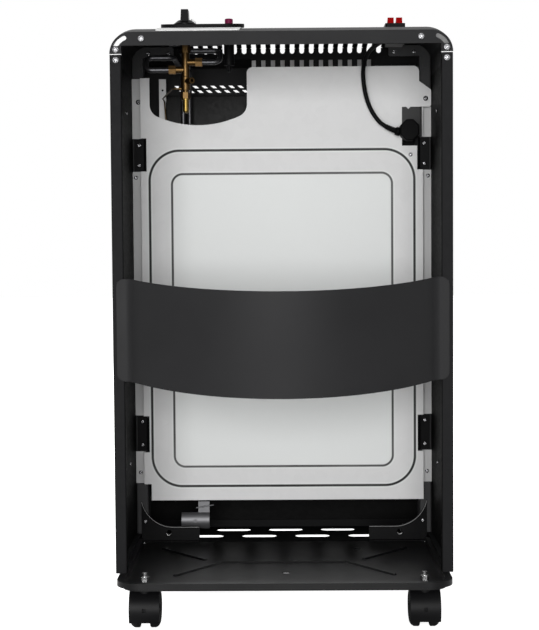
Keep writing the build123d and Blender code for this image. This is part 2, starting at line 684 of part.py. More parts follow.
def front_guard():
    """Wire guard: bowed bars inside a round-cornered frame, crossed by upright wires."""
    half, low, high = OPENING
    half, low, high = half + 8, low - 8, high + 8
    right = tube([(0, GUARD_Y, low), (half, GUARD_Y, low), (half, GUARD_Y, high),
                  (0, GUARD_Y, high)], GUARD_FRAME_R, 12)
    guard = right + mirrored(right)
    step = (high - low) / (GUARD_BARS + 1)
    for number in range(GUARD_BARS):
        z = low + step * (number + 1)
        bow = ThreePointArc((-half, GUARD_Y, z), (0, GUARD_Y + GUARD_BULGE, z),
                            (half, GUARD_Y, z))
        guard += sweep(Plane(origin=bow @ 0, z_dir=bow % 0) * Circle(GUARD_R), path=bow)
    bow_r = (half**2 + GUARD_BULGE**2) / (2 * GUARD_BULGE)
    for number in range(GUARD_POSTS):
        x = 2 * half / (GUARD_POSTS + 1) * (number - (GUARD_POSTS - 1) / 2)
        y = GUARD_Y + GUARD_BULGE - bow_r + sqrt(bow_r**2 - x**2) + GUARD_WELD
        guard += tube([(x, GUARD_Y, low), (x, y, low + 14), (x, y, high - 14),
                       (x, GUARD_Y, high)], GUARD_POST_R, 8)
    return guard


def reflector():
    """Galvanised box behind the burner, open to the front, with a flange on the fascia."""
    wall = REFLECTOR_IN
    outer = opening(wall + SHEET, FASCIA_CORNER)
    box = prism_y(outer, REFLECTOR_Y, FASCIA_Y)
    box -= prism_y(opening(wall, FASCIA_CORNER), REFLECTOR_Y + SHEET, FASCIA_Y + 1)
    flange = opening(wall + 9, FASCIA_CORNER) - outer
    box += prism_y(flange, FASCIA_Y - SHEET, FASCIA_Y)
    high = OPENING[2] + wall
    back = frame_rect((SHIELD_STEP_X, OPENING[0]), (high - 5, SHIELD_Z[2] + 10))
    box += prism_y(back, REFLECTOR_Y, REFLECTOR_Y + SHEET)
    for x in burner_places():
        box -= prism_y(Pos(x, MANIFOLD_Z) * Circle(INJECTOR_R + GAP),
                       REFLECTOR_Y - 1, REFLECTOR_Y + 2 * SHEET)
    box -= prism_y(Pos(PILOT_X, PILOT_Z) * Circle(2), REFLECTOR_Y - 1, REFLECTOR_Y + 2)
    return box


def burner_places():
    """Positions across of the three burners."""
    return [BURNER_PITCH * number for number in (-1, 0, 1)]


def burner_bodies():
    """Three burner housings, each with a mixing tube that its injector points into."""
    width, height, depth = PLAQUE
    bodies = []
    rear = REFLECTOR_Y + SHEET
    front = rear + BURNER_D
    for x in burner_places():
        body = block((x - BURNER_W / 2, x + BURNER_W / 2), (rear, front),
                     (PLAQUE_Z - height / 2 - 6, PLAQUE_Z + height / 2 + 6))
        neck = frame_rect((x - 18, x + 18), (BURNER_FOOT, PLAQUE_Z - height / 2 - 6))
        body += prism_y(neck, rear, rear + 20)
        body -= block((x - width / 2 - GAP, x + width / 2 + GAP), (front - depth, front + 1),
                      (PLAQUE_Z - height / 2 - GAP, PLAQUE_Z + height / 2 + GAP))
        body -= prism_y(Pos(x, MANIFOLD_Z) * Circle(INJECTOR_R + 2), rear - 1, rear + 12)
        bodies.append(body)
    return Compound(children=bodies)


def ceramic_plaques():
    """Three ceramic plaques with shallow channels, one in each burner housing."""
    width, height, depth = PLAQUE
    front = REFLECTOR_Y + SHEET + BURNER_D
    plaques = []
    for x in burner_places():
        plaque = block((x - width / 2, x + width / 2), (front - depth, front),
                       (PLAQUE_Z - height / 2, PLAQUE_Z + height / 2))
        for number in range(1, 4):
            z = PLAQUE_Z - height / 2 + height / 4 * number
            plaque -= block((x - width, x + width), (front - 1.5, front + 1), (z - 1.5, z + 1.5))
        plaques.append(plaque)
    return Compound(children=plaques)


def gas_manifold():
    """Gas rail across the back of the reflector with three injectors and two inlets."""
    end = -TAP_X + MANIFOLD_END
    rail = bar((-end, MANIFOLD_Y, MANIFOLD_Z), (end, MANIFOLD_Y, MANIFOLD_Z), MANIFOLD_R)
    tip = REFLECTOR_Y + SHEET + 6
    for x in burner_places():
        rail += bar((x, MANIFOLD_Y, MANIFOLD_Z), (x, REFLECTOR_Y, MANIFOLD_Z), MANIFOLD_R - 2)
        rail += bar((x, MANIFOLD_Y, MANIFOLD_Z), (x, tip, MANIFOLD_Z), INJECTOR_R)
    for x in PIPE_END_X:
        rail += bar((x, MANIFOLD_Y, MANIFOLD_Z), (x, MANIFOLD_Y, MANIFOLD_Z + 14), PIPE_R + 1.6)
    return rail


def burner_brackets():
    """Two upright angle strips that carry the reflector's side walls."""
    wall = OPENING[0] + REFLECTOR_IN + SHEET
    rear = REFLECTOR_Y + 6
    foot = OPENING[1] + 10
    strips = []
    for side in (-1, 1):
        leg = sorted((side * wall, side * (wall + SHEET)))
        face = sorted((side * wall, side * (wall + 10)))
        strip = block(leg, (rear, FASCIA_Y - 2 * SHEET), (foot, OPENING[2]))
        strip += block(face, (rear, rear + SHEET), (foot, BURNER_STRIP_TOP))
        strip -= prism_y(Pos(side * (wall + 5), BURNER_STRIP_TOP - 16) * Circle(1.5),
                         rear - 1, rear + 2)
        strips.append(strip)
    return Compound(children=strips)


def pilot_burner():
    """Pilot head with its spark electrode, on the side of the left burner housing."""
    side = -BURNER_PITCH - BURNER_W / 2
    rear = REFLECTOR_Y + SHEET + 8
    head = block((side - 14, side), (rear, rear + 20), (PILOT_Z - 10, PILOT_Z + 10))
    pipe_y = rear + 13
    head += bar((side - 9, pipe_y, PILOT_Z + 9), (side - 9, pipe_y, PILOT_Z + 24), 2.5)
    head += bar((side - 3, pipe_y, PILOT_Z + 9), (side - 3, pipe_y, PILOT_Z + 32), 1.2)
    return head


def quartz_tubes():
    """Two electric elements in quartz tubes, with thicker end caps."""
    reach = OPENING[0] + REFLECTOR_IN - 8
    tubes = []
    for z in TUBE_Z:
        element = bar((-reach, TUBE_Y, z), (reach, TUBE_Y, z), TUBE_R)
        for side in (-1, 1):
            element += bar((side * (reach - 24), TUBE_Y, z), (side * reach, TUBE_Y, z),
                           TUBE_R + 1.5)
        tubes.append(element)
    return Compound(children=tubes)


def tube_holders():
    """Ceramic blocks on the reflector's side walls that hold the tubes' ends."""
    outside = OPENING[0] + REFLECTOR_IN
    across, deep, past = HOLDER
    blocks = []
    for side in (-1, 1):
        span = sorted((side * (outside - across), side * outside))
        holder = block(span, (TUBE_Y - deep, TUBE_Y + deep), (TUBE_Z[0] - past, TUBE_Z[-1] + past))
        for z in TUBE_Z:
            holder -= bar((side * (outside - across - 2), TUBE_Y, z),
                          (side * (outside - 8 + GAP), TUBE_Y, z), TUBE_R + 1.5 + GAP)
        blocks.append(holder)
    return Compound(children=blocks)


# ---- gas tap ----------------------------------------------------------------------------
def upright(radius, low, high, x=TAP_X, y=TAP_Y):
    """A round column between two heights, on the tap's axis unless told otherwise."""
    return prism_z(Pos(x, y) * Circle(radius), low, high)


def gas_valve_body():
    """Brass tap: hexagon foot, chamber with an open stub, column with arms, collar, neck."""
    hex_top = TAP_FOOT + HEX_H
    chamber_r, chamber_top = TAP_CHAMBER
    tap = prism_z(Pos(TAP_X, TAP_Y) * hexagon(HEX_AF), TAP_FOOT, hex_top)
    tap += upright(TAP_R - 1, hex_top - 1, TAP_NECK)
    chamber = upright(chamber_r, hex_top + 3, chamber_top)
    tap += chamfer(chamber.edges().group_by(Axis.Z)[-1], 1.5)
    tap += upright(TAP_R, chamber_top - 2, TAP_NECK)
    tap += prism_z(Pos(TAP_X, TAP_Y) * hexagon(TAP_COLLAR[0]), TAP_NECK - TAP_COLLAR[1], TAP_NECK)
    tap += upright(TAP_R, TAP_NECK, TAP_NECK + 11)
    for side, z in ((-1, LEFT_PIPE_Z), (1, RIGHT_PIPE_Z)):
        axis = (TAP_X, TAP_Y, z)
        tap += bar(axis, (TAP_X + side * TAP_ARM, TAP_Y, z), PIPE_R)
        tap += bar(axis, (TAP_X + side * (TAP_ARM - NUT_L / 2), TAP_Y, z), PIPE_R + 1)
    tap += bar((TAP_X, TAP_Y, hex_top + 5), (TAP_X - 9, TAP_Y, hex_top + 5), 2.6)
    way = Vector(*STUB_END).normalized()
    axis = Vector(TAP_X, TAP_Y, STUB_Z)
    end = axis + Vector(*STUB_END)
    tap += bar(axis, end, 4)
    tap -= bar(end - way * 7, end + way, 2.2)
    tap -= upright(SPINDLE_R + RUN, SPINDLE_FOOT - PUSH_TRAVEL - 2, ABOVE)
    tap -= upright(PIN_R + RUN, PIN_FOOT - PUSH_TRAVEL - 2, ABOVE)
    return tap


def valve_push_pin():
    """Thin pin below the spindle, which opens the flame-failure valve when pushed."""
    return upright(PIN_R, PIN_FOOT, SPINDLE_FOOT)


def valve_spindle():
    """Spindle that the knob turns and pushes."""
    return upright(SPINDLE_R, SPINDLE_FOOT, KNOB_TOP - 4)


def control_knob():
    """Round skirt with a tapered grip across it, on the end of the spindle."""
    foot = KNOB_FOOT
    skirt = upright(KNOB_R, foot, foot + KNOB_SKIRT)
    skirt = chamfer(skirt.edges().group_by(Axis.Z)[-1], *KNOB_BEVEL)
    long = 2 * (KNOB_R - KNOB_BEVEL[1]) + 4
    grip = Plane.XY.offset(foot + 1) * Pos(TAP_X, TAP_Y) * Rectangle(KNOB_GRIP, long)
    knob = skirt + extrude(grip, KNOB_H - 1, taper=3)
    return knob - upright(SPINDLE_R + RUN, foot - 1, KNOB_TOP - 4)


def hose_nozzle():
    """Tail that the gas hose pushes on to: plain barrel, waist and tapered tip."""
    low = TAP_FOOT - NOZZLE_LEN
    smooth = TAP_FOOT - 2 - NOZZLE_SMOOTH
    section = Polyline((2, TAP_FOOT), (5.2, TAP_FOOT), (5.2, TAP_FOOT - 2),
                       (NOZZLE_R, TAP_FOOT - 2), (NOZZLE_R, smooth),
                       (NOZZLE_R - 1, low), (2, low), close=True)
    turned = revolve(make_face(Plane.XZ * section), Axis.Z)
    return Pos(TAP_X, TAP_Y, 0) * turned


def gas_pipes():
    """Two tubes that leave the tap's arms, turn back and run forward to the gas rail."""
    back = TAP_Y + PIPE_BACK
    inlet = MANIFOLD_Z + 14
    pipes = []
    for side, z, rise, turn_x, end_x in ((-1, LEFT_PIPE_Z, PIPE_RISE[0], PIPE_TURN_X[0],
                                          PIPE_END_X[0]),
                                         (1, RIGHT_PIPE_Z, PIPE_RISE[1], PIPE_TURN_X[1],
                                          PIPE_END_X[1])):
        start = TAP_X + side * TAP_ARM
        route = [(start, TAP_Y, z), (turn_x, TAP_Y, z), (turn_x, back, z + rise),
                 (end_x, back, z + rise), (end_x, MANIFOLD_Y, z + rise),
                 (end_x, MANIFOLD_Y, inlet)]
        pipes.append(tube(route, PIPE_R, 8))
    return Compound(children=pipes)


def pipe_nuts():
    """Two union nuts round the joints between the tap's arms and the tubes."""
    nuts = []
    for side, z in ((-1, LEFT_PIPE_Z), (1, RIGHT_PIPE_Z)):
        start = TAP_X + side * (TAP_ARM - NUT_L / 2 + SEAT)
        ring = hexagon(PIPE_NUT_AF) - Circle(PIPE_R + RUN)
        plane = Plane(origin=(start, TAP_Y, z), x_dir=(0, 1, 0), z_dir=(side, 0, 0))
        nuts.append(extrude(plane * ring, NUT_L))
    return Compound(children=nuts)


def valve_bracket():
    """Bridge under the lid that the tap's neck passes through."""
    left, right = BRIDGE_X
    deep = (TAP_Y - 16, TAP_Y + 16)
    bridge = block(BRIDGE_X, deep, (TAP_NECK, TAP_NECK + SHEET))
    for side in (left, right - SHEET):
        bridge += block((side, side + SHEET), deep, (TAP_NECK, ABOVE))
    bridge -= upright(TAP_R + RUN, TAP_NECK - 1, TAP_NECK + 2)
    return bridge & vault(SHEET + SEAT, LID_FOOT)


def thermocouple_tube():
    """Thin copper tube from the tap to the pilot head."""
    z = TAP_FOOT + HEX_H + 5
    far = REFLECTOR_Y - 12
    route = [(TAP_X - 9, TAP_Y, z), (TAP_X - 17, TAP_Y, z),
             (PILOT_LINE_X, SHIELD_Y - 8, PILOT_LINE_Z), (PILOT_LINE_X, far, PILOT_LINE_Z),
             (PILOT_X, far, PILOT_Z), (PILOT_X, REFLECTOR_Y + SHEET + 8, PILOT_Z)]
    return tube(route, 1.0, 5)


# ---- controls on the lid ----------------------------------------------------------------
def control_trim():
    """Pale plate that lies on the vaulted lid round the gas controls."""
    left, right, rear, front = TRIM
    plate = prism_z(frame_rect((left, right), (rear, front), 3), LID_EDGE, ABOVE)
    plate &= vault(-TRIM_T - SEAT, LID_FOOT)
    plate -= vault(-SEAT, LID_FOOT - 1)
    plate -= upright(KNOB_WELL, LID_EDGE, ABOVE)
    return plate - upright(PIEZO_R + GAP, LID_EDGE, ABOVE, x=BUTTON_X)


def control_bezel():
    """Black oval ring on the trim, with a well for the knob and a seat for the igniter."""
    outline = Pos(BEZEL_X, TAP_Y) * SlotOverall(BEZEL_L, BEZEL_W)
    foot = -TRIM_T - 2 * SEAT
    bezel = prism_z(outline, LID_EDGE, ABOVE) & vault(foot - BEZEL_T, LID_FOOT)
    bezel -= vault(foot, LID_FOOT - 1)
    bezel -= upright(KNOB_WELL, LID_EDGE, ABOVE)
    return bezel - upright(PIEZO_R + GAP, LID_EDGE, ABOVE, x=BUTTON_X)


def piezo_igniter():
    """Spark unit below the lid, its barrel up through the lid, bored for the button."""
    unit = upright(PIEZO_R, PIEZO_FOOT, PIEZO_TOP, x=BUTTON_X)
    collar = upright(PIEZO_R + 3, lid_height(TAP_Y) - 9, ABOVE, x=BUTTON_X)
    unit += collar & vault(SHEET + SEAT, LID_FOOT)
    floor = BUTTON_FOOT - BUTTON_TRAVEL - 1
    unit -= upright(BUTTON_R + GAP, floor, ABOVE, x=BUTTON_X)
    return unit + upright(2, PIEZO_FOOT - 8, PIEZO_FOOT, x=BUTTON_X)


def igniter_button():
    """Push button with a rounded top."""
    button = upright(BUTTON_R, BUTTON_FOOT, BUTTON_FOOT + BUTTON_H, x=BUTTON_X)
    return fillet(button.edges().group_by(Axis.Z)[-1], 1.2)


def switch_body_outline(extra):
    """The part of the switch that passes through the lid, seen from above."""
    return RectangleRounded(SWITCH_W - 3 + 2 * extra, SWITCH_L - 3 + 2 * extra, 2)


def switch_housing():
    """Double switch: lip on the lid, body below it, pockets and pivot holes, cable gland."""
    place = Pos(SWITCH_X, TAP_Y)
    housing = prism_z(place * switch_body_outline(0), SWITCH_FOOT, SWITCH_TOP)
    lip = prism_z(place * RectangleRounded(SWITCH_W, SWITCH_L, 2.5), LID_EDGE, SWITCH_TOP)
    housing += lip - vault(-SEAT, LID_FOOT)
    for x in rocker_places():
        span = (x - ROCKER_W / 2 - GAP, x + ROCKER_W / 2 + GAP)
        reach = ROCKER_L / 2 + 4 * GAP
        housing -= block(span, (TAP_Y - reach, TAP_Y + reach), (ROCKER_Z - 10, ABOVE))
        housing -= bar((x - ROCKER_W / 2 - 1.2, TAP_Y, ROCKER_Z),
                       (x + ROCKER_W / 2 + 1.2, TAP_Y, ROCKER_Z), ROCKER_PIN_R + RUN)
    return housing + lead_sleeve(LEAD_ROUTE[1], LEAD_ROUTE[0], 7, LEAD_R + 2)


def rocker_places():
    """Positions across of the two rockers."""
    return [SWITCH_X + side * ROCKER_PITCH / 2 for side in (-1, 1)]


def rocker(x):
    """Red rocker cap with a dished top, tilted to its off position, on two pivot pins."""
    end = ROCKER_L / 2
    side = Polyline((-end, -1.5), (-end, ROCKER_H), (0, ROCKER_H - ROCKER_DIP),
                    (end, ROCKER_H), (end, -1.5), (end / 2, -6), (-end / 2, -6), close=True)
    cap = prism_x(make_face(side), -ROCKER_W / 2, ROCKER_W / 2)
    pin = ROCKER_W / 2 + 1
    cap += bar((-pin, 0, 0), (pin, 0, 0), ROCKER_PIN_R)
    return Pos(x, TAP_Y, ROCKER_Z) * Rot(-ROCKER_TILT, 0, 0) * cap


# ---- mains lead -------------------------------------------------------------------------
def lead_sleeve(before, end, length, radius):
    """Sleeve that carries on from an end of the lead, in line with its last run."""
    way = (Vector(*end) - Vector(*before)).normalized()
    return bar(end, Vector(*end) + way * length, radius)


def lead_radii():
    """Radius of each bend of the lead, as large as its two runs allow."""
    points = [Vector(*point) for point in LEAD_ROUTE]
    radii = []
    for before, here, after in zip(points, points[1:], points[2:]):
        turn = radians((here - before).get_angle(after - here))
        shorter = min((here - before).length, (after - here).length)
        radii.append(0.45 * shorter / tan(turn / 2))
    return radii


def power_lead():
    """Black lead hanging from the switch to the plug."""
    radii = lead_radii()
    print("lead radii", [round(radius, 1) for radius in radii])
    path = FilletPolyline(*LEAD_ROUTE, radius=radii)
    print("lead length", round(path.length, 1))
    section = Plane(origin=path @ 0, z_dir=path % 0) * Circle(LEAD_R)
    lead = sweep(section, path=path)
    area = pi * LEAD_R**2
    print("lead volume over section times length", round(lead.volume / area / path.length, 4))
    return lead


def lead_plug():
    """Right-angled plug: octagonal body with rounded corners and a collar for the lead."""
    width, depth, height = PLUG_SIZE
    face = Pos(PLUG_X, PLUG_Z) * Rectangle(width, height)
    face = chamfer(face.vertices(), PLUG_CORNER)
    face = fillet(face.vertices(), 2.5)
    plug = prism_y(face, PLUG_REAR, PLUG_REAR + depth)
    plug = fillet(plug.edges().group_by(Axis.Y)[0], 2)
    return plug + lead_sleeve(LEAD_ROUTE[-2], LEAD_ROUTE[-1], 12, LEAD_R + 1.8)


def mains_inlet():
    """Inlet through the plate in the partition's window, its mouth against the plug."""
    outline = Pos(PLUG_X, PLUG_Z) * RectangleRounded(*INLET, 2)
    return prism_y(outline, PLUG_REAR + PLUG_SIZE[1], PLUG_REAR + PLUG_SIZE[1] + INLET_DEPTH)


def inlet_plate():
    """Dark plate that closes the window and carries the inlet."""
    plate = frame_rect((WINDOW_X - 7, PART_EDGE - SHEET - 3),
                       (BRACKET_Z[1][1] + GAP, WINDOW_Z[1] + 8), 3)
    plate -= Pos(PLUG_X, PLUG_Z) * RectangleRounded(*INLET, 2)
    return prism_y(plate, PART_Y + SHEET, PART_Y + 2 * SHEET)


# ---- tilt switch ------------------------------------------------------------------------
def tilt_switch_bracket():
    """Bright clip on the floor: foot, bulged back, narrow top and a spring wire."""
    half = SHEET / 2
    floor = TRAY_FLOOR + half
    rear = CLIP_Y
    low, high, top = (TRAY_FLOOR + z for z in CLIP_Z)
    middle = (low + high) / 2
    foot = trace(Line((rear + 16, floor), (rear - half, floor)), line_width=SHEET)
    stem = trace(Line((rear, floor), (rear, low)), line_width=SHEET)
    bulge = trace(ThreePointArc((rear, low), (rear - CLIP_BULGE, middle), (rear, high)),
                  line_width=SHEET)
    neck = trace(Line((rear, high), (rear, top)), line_width=SHEET)
    left, right = CLIP_X - CLIP_W / 2, CLIP_X + CLIP_W / 2
    clip = prism_x(bulge, left, right)
    clip += prism_x(foot + stem, left, right - CLIP_NECK)
    clip += prism_x(neck, right - CLIP_NECK, right)
    wire = bar((right - CLIP_NECK - 3, rear - 1, top - 9), (right + 6, rear - 1, top - 5), 0.9)
    rivet = bar((right - CLIP_W / 2, rear - CLIP_BULGE - 1.5, middle),
                (right - CLIP_W / 2, rear - CLIP_BULGE, middle), 2.4)
    return clip + wire + rivet


def tilt_switch():
    """Sealed switch cylinder held in the clip's bulge."""
    radius, reach = TILT_SWITCH
    y = CLIP_Y - CLIP_BULGE + SHEET / 2 + GAP + radius
    z = TRAY_FLOOR + (CLIP_Z[0] + CLIP_Z[1]) / 2
    return bar((CLIP_X - reach, y, z), (CLIP_X + reach, y, z), radius)


# ---- screws and studs -------------------------------------------------------------------
def screw_places():
    """Each screw's place and head radius: X, Y of its seat, Z, radius."""
    flange_x = CAB_W / 2 - SIDE_FLANGE / 2 - 0.5
    small = SMALL_HEAD_R
    bracket_y = POST_Y - SHEET
    ear_z = POST_TOP - 9.2
    places = [(PART_EDGE + 4, PART_Y, EAR_Z[0] + 11.4, small),
              (PART_EDGE - 17.2, PART_Y, WINDOW_Z[0] - 12.3, small)]
    places.append((-PART_EDGE - 3.6, STRIP_Y, STRIP_TOP - 32, small))
    for side in (-1, 1):
        places.append((side * (CAB_W / 2 - 39), 0, LID_EDGE - LID_FLANGE / 2, HEAD_R))
        places.append((side * flange_x, 0, LID_FOOT + 5, HEAD_R))
        places.append((side * flange_x, 0, PANEL_TOP - 6.5, HEAD_R))
        places.append((side * (PART_EDGE + 8), STRIP_Y, 563, small))
        places.append((side * (PART_EDGE + 6), STRIP_Y, 148, small))
        for along in EAR_SCREWS:
            places.append((side * (POST_X - POST_W - along), POST_Y, ear_z, small))
        for low, high in BRACKET_Z:
            places.append((side * (PART_EDGE + 3), bracket_y, low + 9, small))
            places.append((side * (PART_EDGE + 3), bracket_y, high - 9, small))
        places.append((side * (POST_X - 12), bracket_y, TRAY_FLOOR + 28, small))
    return places


def screws():
    """Pan-head screws, all pointing forward."""
    solids = []
    for x, y, z, radius in screw_places():
        height = HEAD_H * radius / HEAD_R
        section = make_face(Polyline((0, SCREW_L), (SCREW_R, SCREW_L), (SCREW_R, 0),
                                     (radius, 0), (radius, -height / 2),
                                     (radius * 0.55, -height), (0, -height), close=True))
        solids.append(Pos(x, y, z) * revolve(section, Axis.Y))
    return Compound(children=solids)


def drilled(piece):
    """The same piece with clearance holes for the screws that pass through it."""
    box = piece.bounding_box()
    for x, y, z, _ in screw_places():
        inside = (box.min.X < x < box.max.X and box.min.Z < z < box.max.Z
                  and box.min.Y < y + SCREW_L and y < box.max.Y)
        if inside:
            piece -= bar((x, y - 0.5, z), (x, y + SCREW_L + 0.5, z), SCREW_R + GAP)
    return piece


def caster_places():
    """The four casters: name, X and Y of the stud."""
    return [(end + "_" + name, side * CASTER_X, y)
            for end, y in (("rear", CASTER_Y[0]), ("front", CASTER_Y[1]))
            for name, side in (("left", -1), ("right", 1))]


def caster_studs():
    """Threaded studs with a shoulder below the floor and a nut above it."""
    solids = []
    for _, x, y in caster_places():
        shoulder = TRAY_FLOOR - SHEET
        stud = upright(STUD_R, GROUND + STUD_FOOT, TRAY_FLOOR + STUD_END, x, y)
        stud += prism_z(Pos(x, y) * hexagon(NUT_AF), GROUND + CASTER_TOP + GAP, shoulder - SEAT)
        nut = hexagon(NUT_AF) - Circle(STUD_R + RUN)
        solids += [stud, prism_z(Pos(x, y) * nut, TRAY_FLOOR + SEAT, TRAY_FLOOR + 5)]
    return Compound(children=solids)


# ---- casters ----------------------------------------------------------------------------
def ring_sector(inner, outer, start, end):
    """Part of a ring in Y and Z round the origin, between two angles from +Y."""
    middle = (inner + outer) / 2
    arc = CenterArc((0, 0), middle, start, end - start)
    return trace(arc, line_width=outer - inner)


def caster_housing(x, y):
    """Hood over two wheels with the web, the axle and the socket for the stud."""
    axle = Pos(0, WHEEL_TRAIL, WHEEL_R)
    hood_in = WHEEL_R + HOOD_GAP
    hood_out = hood_in + HOOD_T
    hood = prism_x(ring_sector(hood_in, hood_out, *HOOD_ARC), -CASTER_W, CASTER_W)
    housing = axle * hood
    boss = upright(BOSS_R, WHEEL_R + 8, CASTER_TOP, 0, 0)
    housing += boss - axle * prism_x(Circle(hood_in), -BOSS_R - 1, BOSS_R + 1)
    web = ring_sector(1, hood_in + HOOD_T / 2, *HOOD_ARC) + Circle(WHEEL_R * 0.6)
    housing += axle * prism_x(web, -FORK_W / 2, FORK_W / 2)
    housing += axle * bar((-CASTER_W + 0.6, 0, 0), (CASTER_W - 0.6, 0, 0), AXLE_R)
    housing -= upright(STUD_R + RUN, STUD_FOOT - 1, CASTER_TOP + 1, 0, 0)
    rear = WHEEL_TRAIL - hood_out
    housing -= block((-WINDOW / 2, WINDOW / 2), (rear - 3, rear + 2.5), (WHEEL_R, WHEEL_R + WINDOW))
    return Pos(x, y, GROUND) * housing


def caster_wheel(x, y, side):
    """Wheel with a flat tread, a rounded outer shoulder and a dished face."""
    inner, outer = WALL_WHEEL, CASTER_W
    bore = AXLE_R + RUN
    section = Curve() + [
        Line((inner, bore), (inner, WHEEL_R - 1)),
        Line((inner, WHEEL_R - 1), (inner + 1, WHEEL_R)),
        Line((inner + 1, WHEEL_R), (outer - 6, WHEEL_R)),
        ThreePointArc((outer - 6, WHEEL_R), (outer - 1.4, WHEEL_R - 3.4), (outer, WHEEL_R - 8)),
        Line((outer, WHEEL_R - 8), (outer - 1.2, WHEEL_R - 9)),
        Line((outer - 1.2, WHEEL_R - 9), (outer - 1.2, bore + 3)),
        Line((outer - 1.2, bore + 3), (outer - 0.3, bore + 2)),
        Line((outer - 0.3, bore + 2), (outer - 0.3, bore)),
        Line((outer - 0.3, bore), (inner, bore)),
    ]
    wheel = revolve(make_face(section), Axis.X)
    if side < 0:
        wheel = mirrored(wheel)
    return Pos(x, y + WHEEL_TRAIL, GROUND + WHEEL_R) * wheel


# ---- all pieces -------------------------------------------------------------------------
def all_pieces():
    """Every piece by name, drawn round the rear flange."""
    pieces = {
        "top_cover": drilled(top_cover()),
        "base_tray": base_tray(),
        "front_floor": front_floor(),
        "heat_shield": heat_shield(),
        "partition_panel": drilled(partition_panel()),
        "retainer_band": retainer_band(),
        "front_fascia": front_fascia(),
        "front_lower_panel": front_lower_panel(),
        "front_guard": front_guard(),
        "reflector": reflector(),
        "burner_bodies": burner_bodies(),
        "ceramic_plaques": ceramic_plaques(),
        "gas_manifold": gas_manifold(),
        "burner_brackets": burner_brackets(),
        "pilot_burner": pilot_burner(),
        "quartz_tubes": quartz_tubes(),
        "tube_holders": tube_holders(),
        "gas_valve_body": gas_valve_body(),
        "valve_push_pin": valve_push_pin(),
        "valve_spindle": valve_spindle(),
        "control_knob": control_knob(),
        "hose_nozzle": hose_nozzle(),
        "gas_pipes": gas_pipes(),
        "pipe_nuts": pipe_nuts(),
        "valve_bracket": valve_bracket(),
        "thermocouple_tube": thermocouple_tube(),
        "control_trim": control_trim(),
        "control_bezel": control_bezel(),
        "piezo_igniter": piezo_igniter(),
        "igniter_button": igniter_button(),
        "switch_housing": switch_housing(),
        "power_lead": power_lead(),
        "lead_plug": lead_plug(),
        "mains_inlet": mains_inlet(),
        "inlet_plate": inlet_plate(),
        "tilt_switch_bracket": tilt_switch_bracket(),
        "tilt_switch": tilt_switch(),
        "screws": screws(),
        "caster_studs": caster_studs(),
    }
    for name, make in (("side_panel", left_side_panel), ("post", left_post),
                       ("gusset", left_gusset)):
        left = make()
        pieces["left_" + name] = drilled(left)
        pieces["right_" + name] = drilled(mirrored(left))
    brackets = [drilled(plate) for plate in support_brackets().children]
    pieces["support_brackets"] = Compound(children=brackets)
    for name, x in zip(("rocker_left", "rocker_right"), rocker_places()):
        pieces[name] = rocker(x)
    for name, x, y in caster_places():
        pieces[name + "_caster"] = caster_housing(x, y)
        pieces[name + "_wheel_out"] = caster_wheel(x, y, 1 if x > 0 else -1)
        pieces[name + "_wheel_in"] = caster_wheel(x, y, -1 if x > 0 else 1)
    return pieces


def main():
    """Write one STEP file for each piece, in the frame of the whole heater."""
    os.makedirs("parts", exist_ok=True)
    for name, piece in all_pieces().items():
        export_step(Pos(0, -MIDDLE_Y, -GROUND) * piece, "parts/" + name + ".step")


if __name__ == "__main__":
    main()
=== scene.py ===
"""Portable gas cabinet heater: finishes, fine pieces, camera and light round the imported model."""

import json
from math import atan2, cos, hypot, pi, radians, sin

import bmesh
import bpy
from mathutils import Matrix, Vector


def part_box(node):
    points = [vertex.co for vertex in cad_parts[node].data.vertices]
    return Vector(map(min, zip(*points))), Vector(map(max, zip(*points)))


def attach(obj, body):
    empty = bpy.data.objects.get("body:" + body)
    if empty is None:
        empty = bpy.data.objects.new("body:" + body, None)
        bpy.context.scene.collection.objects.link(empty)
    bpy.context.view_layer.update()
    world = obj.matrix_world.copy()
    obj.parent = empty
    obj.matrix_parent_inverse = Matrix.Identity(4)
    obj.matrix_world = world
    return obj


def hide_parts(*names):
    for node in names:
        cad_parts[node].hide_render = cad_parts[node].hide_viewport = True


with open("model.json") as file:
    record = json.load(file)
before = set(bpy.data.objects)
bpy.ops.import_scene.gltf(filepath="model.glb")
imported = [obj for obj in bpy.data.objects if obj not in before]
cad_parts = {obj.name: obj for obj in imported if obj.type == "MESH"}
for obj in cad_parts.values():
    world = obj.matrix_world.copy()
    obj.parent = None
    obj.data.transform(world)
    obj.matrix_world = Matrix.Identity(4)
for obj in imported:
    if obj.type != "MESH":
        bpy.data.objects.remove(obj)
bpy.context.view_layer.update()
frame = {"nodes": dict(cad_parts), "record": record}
NODES = frame["nodes"]
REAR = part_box("left_side_panel")[0].y       # the rear flanges' plane
MM = 0.001
LEVEL = 11.0                                # millimetres that heights are taken above ground
MAIN = "cabinet"                            # the body that most pieces ride on


def at(x, y, z):
    """A point in millimetres, Y from the rear flanges and Z over the level, in the row frame."""
    return Vector((x * MM, REAR + y * MM, (z + LEVEL) * MM))


# ---- finishes ---------------------------------------------------------------------------
def linear(code):
    """A colour written as six hexadecimal digits, in linear light."""
    parts = [int(code[i:i + 2], 16) / 255 for i in (0, 2, 4)]
    return [c / 12.92 if c <= 0.04045 else ((c + 0.055) / 1.055) ** 2.4 for c in parts]


def tinted(code, factor=1.0):
    """A colour code made lighter or darker, as a node socket takes it."""
    return [min(1.0, c * factor) for c in linear(code)] + [1.0]


CRYSTAL = 90.0                              # zinc crystals per metre
EDGE = 0.0004                               # radius of rounded edges, in metres
PATCH, PATCH_GLOSS = 12.0, 0.05             # patches per metre, and their span in roughness


